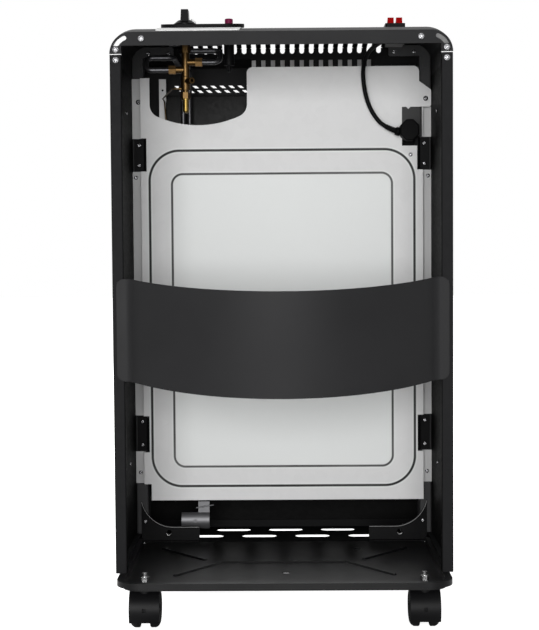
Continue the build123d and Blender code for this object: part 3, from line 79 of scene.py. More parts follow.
class Nodes:
    """Short hand for building a material's node tree."""

    def __init__(self, name, **sockets):
        self.material = bpy.data.materials.new(name)
        self.material.use_nodes = True
        self.tree = self.material.node_tree
        self.shader = self.tree.nodes["Principled BSDF"]
        for key, value in sockets.items():
            self.shader.inputs[key.replace("_", " ")].default_value = value

    def add(self, kind, values=(), **settings):
        """A new node with values on its sockets and settings of its own."""
        node = self.tree.nodes.new(kind)
        for key, value in settings.items():
            setattr(node, key, value)
        for key, value in dict(values).items():
            node.inputs[key].default_value = value
        return node

    def link(self, output, target):
        self.tree.links.new(output, target)

    def noise(self, scale, detail=3.0, stretch=(1, 1, 1)):
        """Noise over the object's own coordinates, drawn out along an axis if asked."""
        place = self.add("ShaderNodeTexCoord")
        mapping = self.add("ShaderNodeMapping", {"Scale": stretch})
        noise = self.add("ShaderNodeTexNoise", {"Scale": scale, "Detail": detail})
        self.link(place.outputs["Object"], mapping.inputs["Vector"])
        self.link(mapping.outputs["Vector"], noise.inputs["Vector"])
        return noise.outputs["Fac"]

    def ranged(self, source, limits):
        """A value carried from one range to another, each from 0 to 1 if not given."""
        node = self.add("ShaderNodeMapRange", limits)
        self.link(source, node.inputs["Value"])
        return node.outputs["Result"]

    def span(self, source, low, high):
        """A value that runs between two limits as noise runs over its usual span."""
        return self.ranged(source, {"From Min": 0.3, "From Max": 0.7,
                                    "To Min": low, "To Max": high})

    def mix(self, factor, one, other):
        """A colour between two, by a factor."""
        node = self.add("ShaderNodeMix", data_type="RGBA")
        self.link(factor, node.inputs["Factor"])
        for socket, value in ((node.inputs[6], one), (node.inputs[7], other)):
            if isinstance(value, bpy.types.NodeSocket):
                self.link(value, socket)
            else:
                socket.default_value = value
        return node.outputs[2]

    def math(self, operation, one, other=None):
        """Arithmetic on node outputs or numbers."""
        node = self.add("ShaderNodeMath", operation=operation)
        for socket, value in zip(node.inputs, (one, other)):
            if isinstance(value, bpy.types.NodeSocket):
                self.link(value, socket)
            elif value is not None:
                socket.default_value = value
        return node.outputs[0]

    def place(self, kind="Object"):
        """The separate coordinates of the surface, in metres, or of its normal."""
        split = self.add("ShaderNodeSeparateXYZ")
        self.link(self.add("ShaderNodeTexCoord").outputs[kind], split.inputs[0])
        return split.outputs

    def step(self, source, low, high):
        """A value that rises from 0 to 1 between two limits, or falls if they are turned."""
        return self.ranged(source, {"From Min": low, "From Max": high})

    def cells(self, scale, **sockets):
        """Voronoi cells over the object's own coordinates."""
        cells = self.add("ShaderNodeTexVoronoi", {"Scale": scale, **sockets})
        place = self.add("ShaderNodeTexCoord")
        self.link(place.outputs["Object"], cells.inputs["Vector"])
        return cells.outputs

    def crystals(self):
        """Two values that differ from one zinc crystal to the next, for tone and gloss."""
        split = self.add("ShaderNodeSeparateColor")
        self.link(self.cells(CRYSTAL)["Color"], split.inputs["Color"])
        return split.outputs["Red"], split.outputs["Green"]

    def from_ring(self, x, z, half, low, high, radius):
        """Distance from a rounded rectangle, below zero inside it."""
        low, high = at(0, 0, low).z, at(0, 0, high).z
        across = self.math("SUBTRACT", self.math("ABSOLUTE", x), (half - radius) * MM)
        height = self.math("ABSOLUTE", self.math("SUBTRACT", z, (low + high) / 2))
        along = self.math("SUBTRACT", height, (high - low) / 2 - radius * MM)
        past = [self.math("MAXIMUM", value, 0.0) for value in (across, along)]
        squares = self.math("ADD", *[self.math("MULTIPLY", value, value) for value in past])
        inside = self.math("MINIMUM", self.math("MAXIMUM", across, along), 0.0)
        reach = self.math("ADD", self.math("SQRT", squares), inside)
        return self.math("SUBTRACT", reach, radius * MM)

    def relief(self, height, depth, edge):
        """Bump from a height, over edges rounded by a small radius."""
        bevel = self.add("ShaderNodeBevel", {"Radius": edge}, samples=4)
        bump = self.add("ShaderNodeBump", {"Strength": 1.0, "Distance": depth})
        self.link(height, bump.inputs["Height"])
        self.link(bevel.outputs["Normal"], bump.inputs["Normal"])
        self.link(bump.outputs["Normal"], self.shader.inputs["Normal"])

    def sheet_relief(self):
        """The slight waves of rolled sheet."""
        self.relief(self.noise(60.0, 3.0), 0.00002, EDGE)


def surface(name, code, rough, metal=0.0, tone=0.08, grain=900.0, depth=0.00002,
            stretch=(1, 1, 1), specular=0.5, edge=EDGE, other=None):
    """A finish with uneven tone and gloss, and fine relief of its own."""
    nodes = Nodes(name, Metallic=metal, Specular_IOR_Level=specular)
    broad = nodes.noise(PATCH, 4.0, stretch)
    fine = nodes.noise(grain, 2.0, stretch)
    colour = nodes.mix(nodes.span(broad, 0.0, 1.0), tinted(code, 1 - tone),
                       tinted(other or code, 1 + tone))
    nodes.link(colour, nodes.shader.inputs["Base Color"])
    nodes.link(nodes.span(broad, rough - PATCH_GLOSS, rough + PATCH_GLOSS),
               nodes.shader.inputs["Roughness"])
    nodes.relief(fine, depth, edge)
    return nodes.material


def spangled(name, code, rough):
    """Galvanised sheet: faint zinc crystals in tone and gloss."""
    nodes = Nodes(name, Metallic=0.15)
    tone, gloss = nodes.crystals()
    nodes.link(nodes.mix(tone, tinted(code, 0.985), tinted(code, 1.015)),
               nodes.shader.inputs["Base Color"])
    nodes.link(nodes.ranged(gloss, {"To Min": rough - 0.04, "To Max": rough + 0.04}),
               nodes.shader.inputs["Roughness"])
    nodes.sheet_relief()
    return nodes.material


# The partition's pressed rings: half breadth, lowest and highest point, corner radius.
GROOVES = ((184.0, 130.0, 599.5, 42.0), (153.0, 157.5, 567.0, 15.0))
GROOVE_HALVES = (1.7, 1.5)                  # half widths of the rings' painted shade lines
STRIP_DEPTHS = (229.5, 233.0)               # where the main face ends and the strips begin


def divider_sheet(name, sheet, strip, field, groove_shades):
    """The partition's sheet: pale main face, grey side strips, painted shade along its pressed
    grooves with a painted highlight beside each.
    """
    nodes = Nodes(name, Specular_IOR_Level=0.25)
    x, y, z = nodes.place()
    tone, gloss = nodes.crystals()
    colour = nodes.mix(tone, tinted(sheet, 0.985), tinted(sheet, 1.01))
    rings = [nodes.from_ring(x, z, *groove) for groove in GROOVES]
    colour = nodes.mix(nodes.step(rings[1], -1.0 * MM, -2.0 * MM), colour, tinted(field))
    for ring, half, dark in zip(rings, GROOVE_HALVES, groove_shades):
        # Along each groove: a dark line of painted shade, with a pale band of painted highlight
        # either side of it.
        near = nodes.math("ABSOLUTE", ring)
        line = nodes.step(near, (half + 0.5) * MM, (half - 0.5) * MM)
        light = nodes.step(near, (half + 3.0) * MM, (half + 1.0) * MM)
        colour = nodes.mix(light, colour, tinted(field))
        uneven = nodes.mix(nodes.span(nodes.noise(9.0), 0.0, 1.0), *map(tinted, dark))
        colour = nodes.mix(line, colour, uneven)
    deep = nodes.step(y, *[at(0, depth, 0).y for depth in STRIP_DEPTHS])
    colour = nodes.mix(deep, colour, tinted(strip))
    nodes.link(colour, nodes.shader.inputs["Base Color"])
    nodes.link(nodes.ranged(gloss, {"To Min": 0.58, "To Max": 0.66}),
               nodes.shader.inputs["Roughness"])
    nodes.sheet_relief()
    return nodes.material


PAINTED_SHADE_END_HEIGHTS = (709.0, 712.0)              # where the painted shade on the reflector's rear face ends


def two_sided(name, rear, front, rough):
    """Sheet whose rear face is painted dark as shade up to a height, bright on its other faces."""
    nodes = Nodes(name, Specular_IOR_Level=0.04)
    shader = nodes.shader
    facing = nodes.step(nodes.place("Normal")[1], -0.4, -0.6)
    blotch = nodes.span(nodes.noise(30.0, 4.0), 0.0, 1.0)
    dark = nodes.mix(blotch, tinted(rear, 0.8), tinted(rear, 1.2))
    bright = nodes.mix(blotch, tinted(front, 0.94), tinted(front))
    unshaded = nodes.step(nodes.place()[2], *[at(0, 0, height).z for height in PAINTED_SHADE_END_HEIGHTS])
    # The rear face below these heights takes the dark colour: painted shade.
    painted_shade = nodes.math("MULTIPLY", facing, nodes.math("SUBTRACT", 1.0, unshaded))
    nodes.link(nodes.mix(painted_shade, bright, dark), shader.inputs["Base Color"])
    nodes.link(nodes.math("MULTIPLY", nodes.math("SUBTRACT", 1.0, facing), 0.85),
               shader.inputs["Metallic"])
    nodes.link(nodes.span(nodes.noise(200.0), rough - 0.06, rough + 0.06),
               shader.inputs["Roughness"])
    nodes.sheet_relief()
    return nodes.material


def wall_paint(name, outside, inside, across=True):
    """Satin paint whose colour is darker on a wall's inner face, as painted shade."""
    nodes = Nodes(name, Specular_IOR_Level=0.05)
    normal = nodes.place("Normal")
    if across:
        side = nodes.step(nodes.place()[0], -1.0 * MM, 1.0 * MM)
        signed = nodes.math("MULTIPLY", normal[0],
                            nodes.math("SUBTRACT", nodes.math("MULTIPLY", side, 2.0), 1.0))
    else:
        signed = normal[1]
    # The inner face takes the darker colour: painted shade.
    inner = nodes.step(signed, -0.6, -0.8)
    blotch = nodes.span(nodes.noise(12.0, 4.0), 0.0, 1.0)
    plain = nodes.mix(blotch, tinted(outside, 0.92), tinted(outside, 1.08))
    shaded_inside = nodes.mix(blotch, tinted(inside, 0.9), tinted(inside, 1.1))
    nodes.link(nodes.mix(inner, plain, shaded_inside), nodes.shader.inputs["Base Color"])
    nodes.link(nodes.span(nodes.noise(200.0), 0.52, 0.62), nodes.shader.inputs["Roughness"])
    nodes.relief(nodes.noise(1100.0, 2.0), 0.00003, EDGE)
    return nodes.material


def perforated(name, code, hole, pitch):
    """Ceramic with rows of fine burner holes, bumped in and coloured dark as painted shade."""
    nodes = Nodes(name, Roughness=0.85)
    edge = nodes.step(nodes.cells(1 / pitch, Randomness=0.0)["Distance"], 0.22, 0.34)
    solid = nodes.mix(nodes.span(nodes.noise(25.0), 0.0, 1.0), tinted(code, 0.9),
                      tinted(code, 1.05))
    # The holes' dark colour is painted shade.
    nodes.link(nodes.mix(edge, tinted(hole), solid), nodes.shader.inputs["Base Color"])
    nodes.relief(edge, 0.0008, 0.0005)
    return nodes.material


def quartz(name):
    """Clear quartz glass with a trace of haze."""
    nodes = Nodes(name, Transmission_Weight=0.9, IOR=1.46)
    haze = nodes.noise(40.0)
    nodes.link(nodes.mix(haze, tinted("E6E6EA"), tinted("FFFFFF")),
               nodes.shader.inputs["Base Color"])
    nodes.link(nodes.span(haze, 0.05, 0.14), nodes.shader.inputs["Roughness"])
    return nodes.material


BRUSHED = (1, 1, 0.04)
FINISHES = {
    "black_paint": surface("satin_black_powder", "1B1B1C", 0.5, depth=0.00003, grain=1100,
                           specular=0.1),
    "dark_paint": surface("dark_powder", "0C0C0D", 0.5, depth=0.00003, grain=1100,
                          specular=0.06),
    "grey_paint": surface("grey_powder", "343435", 0.5, depth=0.00003, grain=1100,
                          specular=0.2),
    "chrome_wire": surface("bright_wire", "CFCFD1", 0.16, 1.0, tone=0.03, depth=0.000005),
    "galvanised": spangled("galvanised_sheet", "C6C6C6", 0.5),
    "aluminised": surface("aluminised_steel", "8E8E8E", 0.45, 0.8, grain=300),
    "plaque": perforated("burner_ceramic", "E2D6C4", "6A5A4A", 0.0024),
    "quartz": quartz("quartz_glass"),
    "ceramic_white": surface("steatite", "E0DDD5", 0.7, tone=0.04, grain=600),
    "brass": surface("brass", "5C4628", 0.34, 0.95, grain=500, other="2E2414"),
    "steel": surface("turned_steel", "9C9C9E", 0.32, 1.0, grain=500),
    "knob_plastic": surface("knob_plastic", "070708", 0.3, tone=0.05, grain=700,
                            specular=0.06),
    "aluminium_tube": surface("aluminium_tube", "3E3E40", 0.34, 0.85, grain=400),
    "zinc": surface("zinc_plated", "9A9A9A", 0.3, 0.9, grain=400),
    "copper": surface("dull_copper", "4A3A22", 0.42, 0.8, grain=400),
    "black_plastic": surface("black_plastic", "080809", 0.45, tone=0.05, grain=1500,
                             specular=0.05),
    "crimson_plastic": surface("crimson_plastic", "620A34", 0.4, tone=0.04, specular=0.1),
    "pale_trim": surface("pale_trim", "DCDCDC", 0.45, tone=0.02, stretch=BRUSHED),
    "red_plastic": surface("red_plastic", "8A0202", 0.45, tone=0.04, specular=0.04),
    "lead_rubber": surface("lead_rubber", "070708", 0.5, tone=0.06, grain=1500,
                           specular=0.06),
    "plug_rubber": surface("plug_rubber", "060607", 0.6, tone=0.05, grain=1500,
                           specular=0.06),
    "grey_plate": surface("grey_plate", "3C3C3C", 0.6, grain=900, specular=0.15),
    "chrome_screw": surface("bright_screw", "8E8E90", 0.2, 1.0, tone=0.03,
                            depth=0.000005),
    "caster_plastic": surface("caster_plastic", "0F0F10", 0.45, tone=0.05, grain=1300,
                              specular=0.1),
    "wheel_plastic": surface("wheel_plastic", "0D0D0E", 0.6, tone=0.06, grain=1300,
                             specular=0.12),
}
OWN_FINISHES = {
    # The partition's dark groove colours are painted shade, and its field colour also makes the
    # painted highlight beside them.
    "partition_panel": divider_sheet("divider_sheet", "D4D4D4", "C0C0C0", "DCDEDD",
                                     (("1E1E1E", "3C3C3C"), ("3A3A3A", "6A6A6A"))),
    # The reflector's dark rear colour is painted shade.
    "reflector": two_sided("reflector_sheet", "0C0C0C", "D0D0D0", 0.3),
    "retainer_band": surface("band_powder", "222223", 0.5, depth=0.00003, grain=1100,
                             specular=0.1),
    "base_tray": surface("tray_powder", "0A0A0B", 0.32, depth=0.00001, grain=900,
                         specular=0.22, edge=0.0002),
    # The walls' and the front panel's inner colours are painted shade.
    "left_side_panel": wall_paint("left_wall_powder", "1B1B1C", "080808"),
    "right_side_panel": wall_paint("right_wall_powder", "1B1B1C", "080808"),
    "front_lower_panel": wall_paint("front_powder", "161617", "050505", across=False),
    "pipe_nuts": surface("nut_brass", "94744A", 0.34, 0.9, grain=500, other="6A5232"),
    "hose_nozzle": surface("nozzle_brass", "8A7238", 0.3, 0.95, grain=500, other="4C3E20"),
    "tilt_switch_bracket": surface("clip_steel", "5E5E60", 0.42, 0.6, grain=500),
    "caster_studs": surface("stud_zinc", "C8C8C8", 0.26, 0.95, grain=400),
}

SLOT_OF = {row["node"]: row["material_slot"] for row in frame["record"]["subparts"]}
for node, piece in NODES.items():
    piece.data.materials.clear()
    piece.data.materials.append(OWN_FINISHES.get(node, FINISHES[SLOT_OF[node]]))


# ---- shared mesh and curve work ---------------------------------------------------------
def piece_from(name, mesh, slot, body, *replaced, finish=None):
    """Links a new mesh or curve as a piece with its slot, finish, body and replaced nodes."""
    piece = bpy.data.objects.new(name, mesh)
    bpy.context.scene.collection.objects.link(piece)
    mesh.materials.append(finish or FINISHES[slot])
    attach(piece, body)
    if replaced:
        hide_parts(*replaced)
    return piece


def mesh_of(bm, name, smooth=True):
    """The mesh of a bmesh, with outward normals and smooth or flat faces."""
    bmesh.ops.recalc_face_normals(bm, faces=bm.faces)
    for face in bm.faces:
        face.smooth = smooth
    mesh = bpy.data.meshes.new(name)
    bm.to_mesh(mesh)
    bm.free()
    return mesh


def join_rings(bm, rings, capped=True):
    """Faces between each ring of vertices and the next, and a face at either end."""
    for near, far in zip(rings, rings[1:]):
        for k in range(len(near)):
            after = (k + 1) % len(near)
            bm.faces.new((near[k], near[after], far[after], far[k]))
    if capped:
        bm.faces.new(rings[0])
        bm.faces.new(reversed(rings[-1]))


def islands(node):
    """The lowest and highest corners of each separate solid of a node."""
    bm = bmesh.new()
    bm.from_mesh(NODES[node].data)
    bmesh.ops.remove_doubles(bm, verts=bm.verts, dist=1e-6)
    left = set(bm.verts)
    boxes = []
    while left:
        group, edge = set(), [left.pop()]
        while edge:
            vert = edge.pop()
            group.add(vert)
            for link in vert.link_edges:
                other = link.other_vert(vert)
                if other in left:
                    left.discard(other)
                    edge.append(other)
        points = [v.co.copy() for v in group]
        boxes.append((Vector([min(p[i] for p in points) for i in range(3)]),
                      Vector([max(p[i] for p in points) for i in range(3)])))
    bm.free()
    return sorted(boxes, key=lambda pair: tuple(pair[0]))


def curve(name, points, radius, kind="POLY", resolution=12):
    """Curve data of one round tube along points."""
    data = bpy.data.curves.new(name, "CURVE")
    data.dimensions = "3D"
    data.bevel_depth = radius
    data.bevel_resolution = 5
    data.resolution_u = resolution
    data.use_fill_caps = True
    spline = data.splines.new(kind)
    spline.points.add(len(points) - 1)
    for target, point in zip(spline.points, points):
        target.co = (*point, 1.0)
    if kind == "NURBS":
        spline.order_u = 3
        spline.use_endpoint_u = True
    return data


def made_mesh(data):
    """A mesh from curve data, which is then removed."""
    holder = bpy.data.objects.new(data.name, data)
    mesh = bpy.data.meshes.new_from_object(holder)
    mesh.name = data.name
    bpy.data.objects.remove(holder)
    bpy.data.curves.remove(data)
    return mesh


# ---- mains lead -------------------------------------------------------------------------
LEAD_R = 3.0
LEAD_ROUTE = [(140, 110, 734), (137, 135, 735), (129, 164, 735), (118.5, 194, 729),
              (112.4, 213, 713), (113.2, 219.5, 690), (117.8, 220, 666),
              (127.5, 219.5, 645), (141.5, 218, 629.5), (157, 217, 624)]
# Each sleeve's start, end, collar's end, and the radii of its collar, body and tip.
RELIEF_AT_SWITCH = (0.0, 24.0, 3.0, 5.0, 4.6, 3.5)
RELIEF_AT_PLUG = (-7.0, 15.0, -0.5, 5.8, 4.0, 3.4)


def centre_line(data):
    """Points read from a curve's own line, without its thickness."""
    bare = data.copy()
    bare.bevel_depth = 0.0
    mesh = made_mesh(bare)
    points = [vert.co.copy() for vert in mesh.vertices]
    bpy.data.meshes.remove(mesh)
    return points


def along_line(points, reach):
    """The place and direction at a length along a line of points."""
    for near, far in zip(points, points[1:]):
        run = (far - near).length
        if reach <= run:
            return near.lerp(far, reach / run), (far - near).normalized()
        reach -= run
    return points[-1], (points[-1] - points[-2]).normalized()


def strain_relief(name, points, start, length, collar, collar_r, body_r, tip_r):
    """A tapered, ribbed sleeve round the first stretch of a line, behind a collar."""
    core, ribs, steps, groove = LEAD_R * MM * 0.9, 5, 28, 0.35 * MM
    profile = [(start, core), (start, collar_r), (collar, collar_r), (collar, body_r)]
    pitch = (length - collar) / ribs
    for rib in range(ribs):
        foot = collar + rib * pitch
        radius = body_r + (tip_r - body_r) * rib / ribs
        profile += [(foot + 0.10 * pitch, radius), (foot + 0.62 * pitch, radius),
                    (foot + 0.70 * pitch, radius - groove),
                    (foot + 0.98 * pitch, radius - groove)]
    profile += [(length, tip_r), (length, core)]
    bm = bmesh.new()
    rings = []
    side = along_line(points, 0.0)[1].orthogonal().normalized()
    for reach, radius in profile:
        centre, way = along_line(points, reach)
        side = (side - way * side.dot(way)).normalized()
        other = way.cross(side)
        rings.append([bm.verts.new(centre + radius * (side * cos(2 * pi * k / steps)
                                                      + other * sin(2 * pi * k / steps)))
                      for k in range(steps)])
    join_rings(bm, rings + rings[:1], capped=False)
    return piece_from(name, mesh_of(bm, name), "lead_rubber", MAIN)


def power_lead():
    """The black lead that hangs from the switch to its plug."""
    points = [at(*point) for point in LEAD_ROUTE]
    data = curve("power_lead_curve", points, LEAD_R * MM, "NURBS", 24)
    lead = piece_from("mains_lead", data, "lead_rubber", MAIN, "power_lead")
    line = centre_line(data)
    reliefs = [strain_relief(name, points_on, *[size * MM for size in sizes])
               for name, points_on, sizes in (
                   ("relief_at_switch", line, RELIEF_AT_SWITCH),
                   ("relief_at_plug", line[::-1], RELIEF_AT_PLUG))]


power_lead()


# ---- screws -----------------------------------------------------------------------------
SCREW_RADIUS, SCREW_HEIGHT = 4.3, 2.2       # of the common head; the others are in proportion
WALL_SCREWS = ((163.0, 645.5), (157.0, 172.7))      # depth and height, on both side walls
WALL_SCREW_RADIUS, WALL_SCREW_HEIGHT = 2.6, 1.3
WALL_SHEET = 1.0                            # thickness of the side walls


def screw_head(bm, centre, radius, height, facing):
    """Adds a domed head with a cross recess, facing -Y before its turn."""
    rings, steps = 14, 40
    arm, reach, pit = 0.15 * radius, 0.62 * radius, 0.55 * height
    grid = []
    for ring in range(rings + 1):
        r = radius * ring / rings
        row = []
        for step in range(steps):
            turn = 2 * pi * step / steps
            x, z = r * cos(turn), r * sin(turn)
            out = height * (1 - (r / radius) ** 3) ** 0.5 if r < radius else 0.0
            near = min(abs(x), abs(z))
            if r < reach and near < arm:
                out -= pit * (1 - (r / reach) ** 4)
            row.append(bm.verts.new(centre + facing @ Vector((x, -out, z))))
        grid.append(row)
    for inner, outer in zip(grid, grid[1:]):
        for step in range(steps):
            after = (step + 1) % steps
            bm.faces.new((inner[step], inner[after], outer[after], outer[step]))
    seat = facing @ Vector((0, 0.0004, 0))
    rim = [bm.verts.new(v.co + seat) for v in grid[-1]]
    for step in range(steps):
        after = (step + 1) % steps
        bm.faces.new((grid[-1][step], grid[-1][after], rim[after], rim[step]))
    bm.faces.new(rim)


def screw_heads():
    """Pan heads on every screw of the CAD node."""
    bm = bmesh.new()
    for number, (low, high) in enumerate(islands("screws")):
        radius = (high.x - low.x) / 2
        height = SCREW_HEIGHT * MM * radius / (SCREW_RADIUS * MM)
        centre = Vector(((low.x + high.x) / 2, low.y + height, (low.z + high.z) / 2))
        turned = Matrix.Rotation(radians(37 * number), 3, "Y")
        screw_head(bm, centre, radius, height, turned)
    bmesh.ops.remove_doubles(bm, verts=bm.verts, dist=1e-7)
    piece_from("screw_heads", mesh_of(bm, "screw_heads"), "chrome_screw", MAIN, "screws")


def small_screws():
    """Small heads on the inner faces of the side walls."""
    bm = bmesh.new()
    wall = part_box("left_side_panel")[0].x + WALL_SHEET * MM
    for side in (-1, 1):
        facing = Matrix.Rotation(side * pi / 2, 3, "Z").inverted()
        for depth, height in WALL_SCREWS:
            centre = at(0, depth, height)
            centre.x = -side * (wall + WALL_SCREW_HEIGHT * MM)
            screw_head(bm, centre, WALL_SCREW_RADIUS * MM, WALL_SCREW_HEIGHT * MM, facing)
    bmesh.ops.remove_doubles(bm, verts=bm.verts, dist=1e-7)
    piece_from("small_screws", mesh_of(bm, "small_screws"), "chrome_screw", MAIN)


screw_heads()
small_screws()


# ---- sheet pieces -----------------------------------------------------------------------
def sheet(name, loops, rear, thick, slot, *replaced, finish=None):
    """A flat plate that stands upright, from outlines in X and Z with holes left open."""
    data = bpy.data.curves.new(name + "_outline", "CURVE")
    data.dimensions = "2D"
    data.fill_mode = "BOTH"
    data.extrude = thick / 2 * MM
    for loop in loops:
        spline = data.splines.new("POLY")
        spline.points.add(len(loop) - 1)
        spline.use_cyclic_u = True
        for point, (x, z) in zip(spline.points, loop):
            point.co = (x * MM, (z + LEVEL) * MM, 0, 1)
    mesh = made_mesh(data)
    mesh.name = name
    middle = Matrix.Translation((0, at(0, rear + thick / 2, 0).y, 0))
    mesh.transform(middle @ Matrix.Rotation(pi / 2, 4, "X"))
    piece_from(name, mesh, slot, MAIN, *replaced, finish=finish)


def arc(x, z, radius, start, end, steps=24):
    """Points along an arc round a centre, from and to in degrees."""
    return [(x + radius * cos(radians(start + (end - start) * k / steps)),
             z + radius * sin(radians(start + (end - start) * k / steps)))
            for k in range(steps + 1)]


SHIELD_REAR, SHIELD_THICK = 252.0, 1.0
SHIELD_HALF, SHIELD_FOOT, SHIELD_STEP = 191.4, 470.0, (-42.0, 632.0)
COMB_FOOT, COMB_SLOT, COMB_MIDDLE, COMB_PITCH, COMB_SLOTS = 735.4, 6.4, 8.8, 13.45, 20
COMB_STRIP = 728.0                          # lower edge of the comb beside the step
COMB_BELOW = 1.3                            # from the solid shield's top to the comb's ends
LOW_SLOT, LOW_SLOTS = (700.0, 726.4, 5.8), 13   # foot, head and width, and how many
LIP_MARGIN, LIP_GAP, LIP_THICK, LIP_ROWS = 12.0, 0.4, 0.5, 6
LID_REAR_SLOT = 222.0                       # depth where the lid's vents start
LID_SHEET, LID_EDGE = 1.0, 728.0            # thickness, and height of the crown's edges


def lid_height(depth):
    """Height of the lid's outer face at a depth, from its edge, crown and length."""
    low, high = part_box("top_cover")
    reach = (high.y - low.y) / 2
    rise = high.z - at(0, 0, LID_EDGE).z
    radius = (reach * reach + rise * rise) / (2 * rise)
    off = at(0, depth, 0).y - (low.y + high.y) / 2
    return (high.z - radius + (radius * radius - off * off) ** 0.5) / MM - LEVEL


def shield_and_comb():
    """Black shield: stepped plate, slots above the partition, comb and lip under the lid."""
    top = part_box("heat_shield")[1].z / MM - LEVEL - COMB_BELOW
    step_x, step_z = SHIELD_STEP
    half = SHIELD_HALF
    places = [COMB_MIDDLE + COMB_PITCH * (k - (COMB_SLOTS - 1) / 2) for k in range(COMB_SLOTS)]
    r = COMB_SLOT / 2
    outline = [(-half, SHIELD_FOOT), (half, SHIELD_FOOT), (half, top)]
    for x in reversed(places):
        outline += [(x + r, top)] + arc(x, COMB_FOOT + r, r, 360, 180, 12) + [(x - r, top)]
    outline += [(-half, top), (-half, COMB_STRIP), (step_x, COMB_STRIP), (step_x, step_z),
                (-half, step_z)]
    loops = [outline]
    foot, head, wide = LOW_SLOT
    for x in places[COMB_SLOTS - LOW_SLOTS - 1:-1]:
        loops.append([(x - wide / 2, foot), (x + wide / 2, foot),
                      (x + wide / 2, head), (x - wide / 2, head)])
    sheet("shield_plate", loops, SHIELD_REAR, SHIELD_THICK, "dark_paint", "heat_shield")
    edges = [-half + LIP_MARGIN]
    for x in places:
        edges += [x - r, x + r]
    edges.append(half - LIP_MARGIN)
    bm = bmesh.new()
    for left, right in zip(edges[::2], edges[1::2]):
        rings = []
        for row in range(LIP_ROWS + 1):
            depth = LID_REAR_SLOT + (SHIELD_REAR - LID_REAR_SLOT) * row / LIP_ROWS
            upper = lid_height(depth) - LID_SHEET - LIP_GAP
            lower = upper - LIP_THICK
            rings.append([bm.verts.new(at(x, depth, z)) for x, z in
                          ((left, upper), (right, upper), (right, lower), (left, lower))])
        join_rings(bm, rings)
    piece_from("comb_lip", mesh_of(bm, "comb_lip", smooth=False), "dark_paint", MAIN)


CORNER_OPENING = (184.0, 702.0)             # centre of the lid's crescent openings
CORNER_RADII = (24.6, 15.5)                 # outer and inner radius of the painted light sheets
CORNER_SEAM = (195.5, 209.8)                # where the bright seam strips of painted light begin and end
SEAM_BRIGHT = (700.5, 701.5)                # heights of the bright strips of painted light at the rear
SEAM_DARK = ((209.9, 700.45), (209.1, 700.45), (209.1, 701.55), (209.9, 701.55))
SEAM_DEPTHS, SEAM_STEPS = (2.5, 333.0), 40


def painted_corner_light():
    """Sheets behind the lid's crescent openings and corner seams: a pale painted reflection on the
    left, grey painted shade on the right, and pale painted light in both seams.
    """
    # The pale finish is a painted reflection and painted light; the grey finish is painted shade.
    unshaded = FINISHES["pale_trim"]
    painted_shade = surface("grey_painted_shade", "6E6E6E", 0.6, 0.0, specular=0.1)
    foot, head = SEAM_BRIGHT
    outer, inner = CORNER_RADII
    for side, name, finish in ((-1, "painted_light_left", unshaded), (1, "painted_light_right", painted_shade)):
        x, z = side * CORNER_OPENING[0], CORNER_OPENING[1]
        start, end = (105, 172) if side < 0 else (75, 8)
        outline = arc(x, z, outer, start, end) + arc(x, z, inner, end, start)
        sheet(name, [outline], 1.25, 0.5, "pale_trim", finish=finish)
        low, high = sorted(side * edge for edge in CORNER_SEAM)
        sheet(name + "_seam", [[(low, foot), (high, foot), (high, head), (low, head)]],
              0.3, 0.5, "pale_trim", finish=unshaded)


def seam_strips():
    """Dark strips that close the seam between the lid's skirts and the side panels."""
    near, far = SEAM_DEPTHS
    for side, name in ((-1, "left_seam_strip"), (1, "right_seam_strip")):
        bm = bmesh.new()
        rings = []
        for step in range(SEAM_STEPS + 1):
            depth = near + (far - near) * step / SEAM_STEPS
            rings.append([bm.verts.new(at(side * x, depth, z)) for x, z in SEAM_DARK])
        join_rings(bm, rings)
        piece_from(name, mesh_of(bm, name, smooth=False), "dark_paint", MAIN)


GUSSET_HOLE, HOLE_LIP_RADIUS = (162.7, 63.0), 3.2
GUSSET_EDGE_START, GUSSET_ARM = 119.7, 21.0     # inner end, and its height over the foot
GUSSET_BEND = ((155.7, 21.0), (186.7, 33.0), (200.7, 57.0))     # X, and height over the foot
LIP_WIRE, EDGE_WIRE = 0.75, 0.4


def gusset_trims():
    """Bright wires on the turned edges of the two gussets and on the turned-out lower lips of their
    holes, as painted highlights.
    """
    edge_highlight = surface("painted_highlight_edge", "8C8C8C", 0.5, 0.3, grain=600)
    for side, node in ((-1, "left_gusset"), (1, "right_gusset")):
        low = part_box(node)[0]
        rear = low.y - 0.15 * MM
        foot = low.z / MM - LEVEL
        lip = arc(side * GUSSET_HOLE[0], GUSSET_HOLE[1], HOLE_LIP_RADIUS, 190, 350, 20)
        ends = [(side * x, foot + height) for x, height in GUSSET_BEND]
        bend = [(side * GUSSET_EDGE_START, foot + GUSSET_ARM)] + through(*ends, steps=24)
        # Both wires are painted highlights: bright zinc on the hole lips, grey on the edges.
        for part, points, radius, finish in (("hole_lip", lip, LIP_WIRE, None),
                                             ("edge", bend, EDGE_WIRE, edge_highlight)):
            places = [Vector((x * MM, rear, (z + LEVEL) * MM)) for x, z in points]
            mesh = made_mesh(curve(node + "_" + part, places, radius * MM))
            piece_from(node + "_" + part, mesh, "zinc", MAIN, finish=finish)


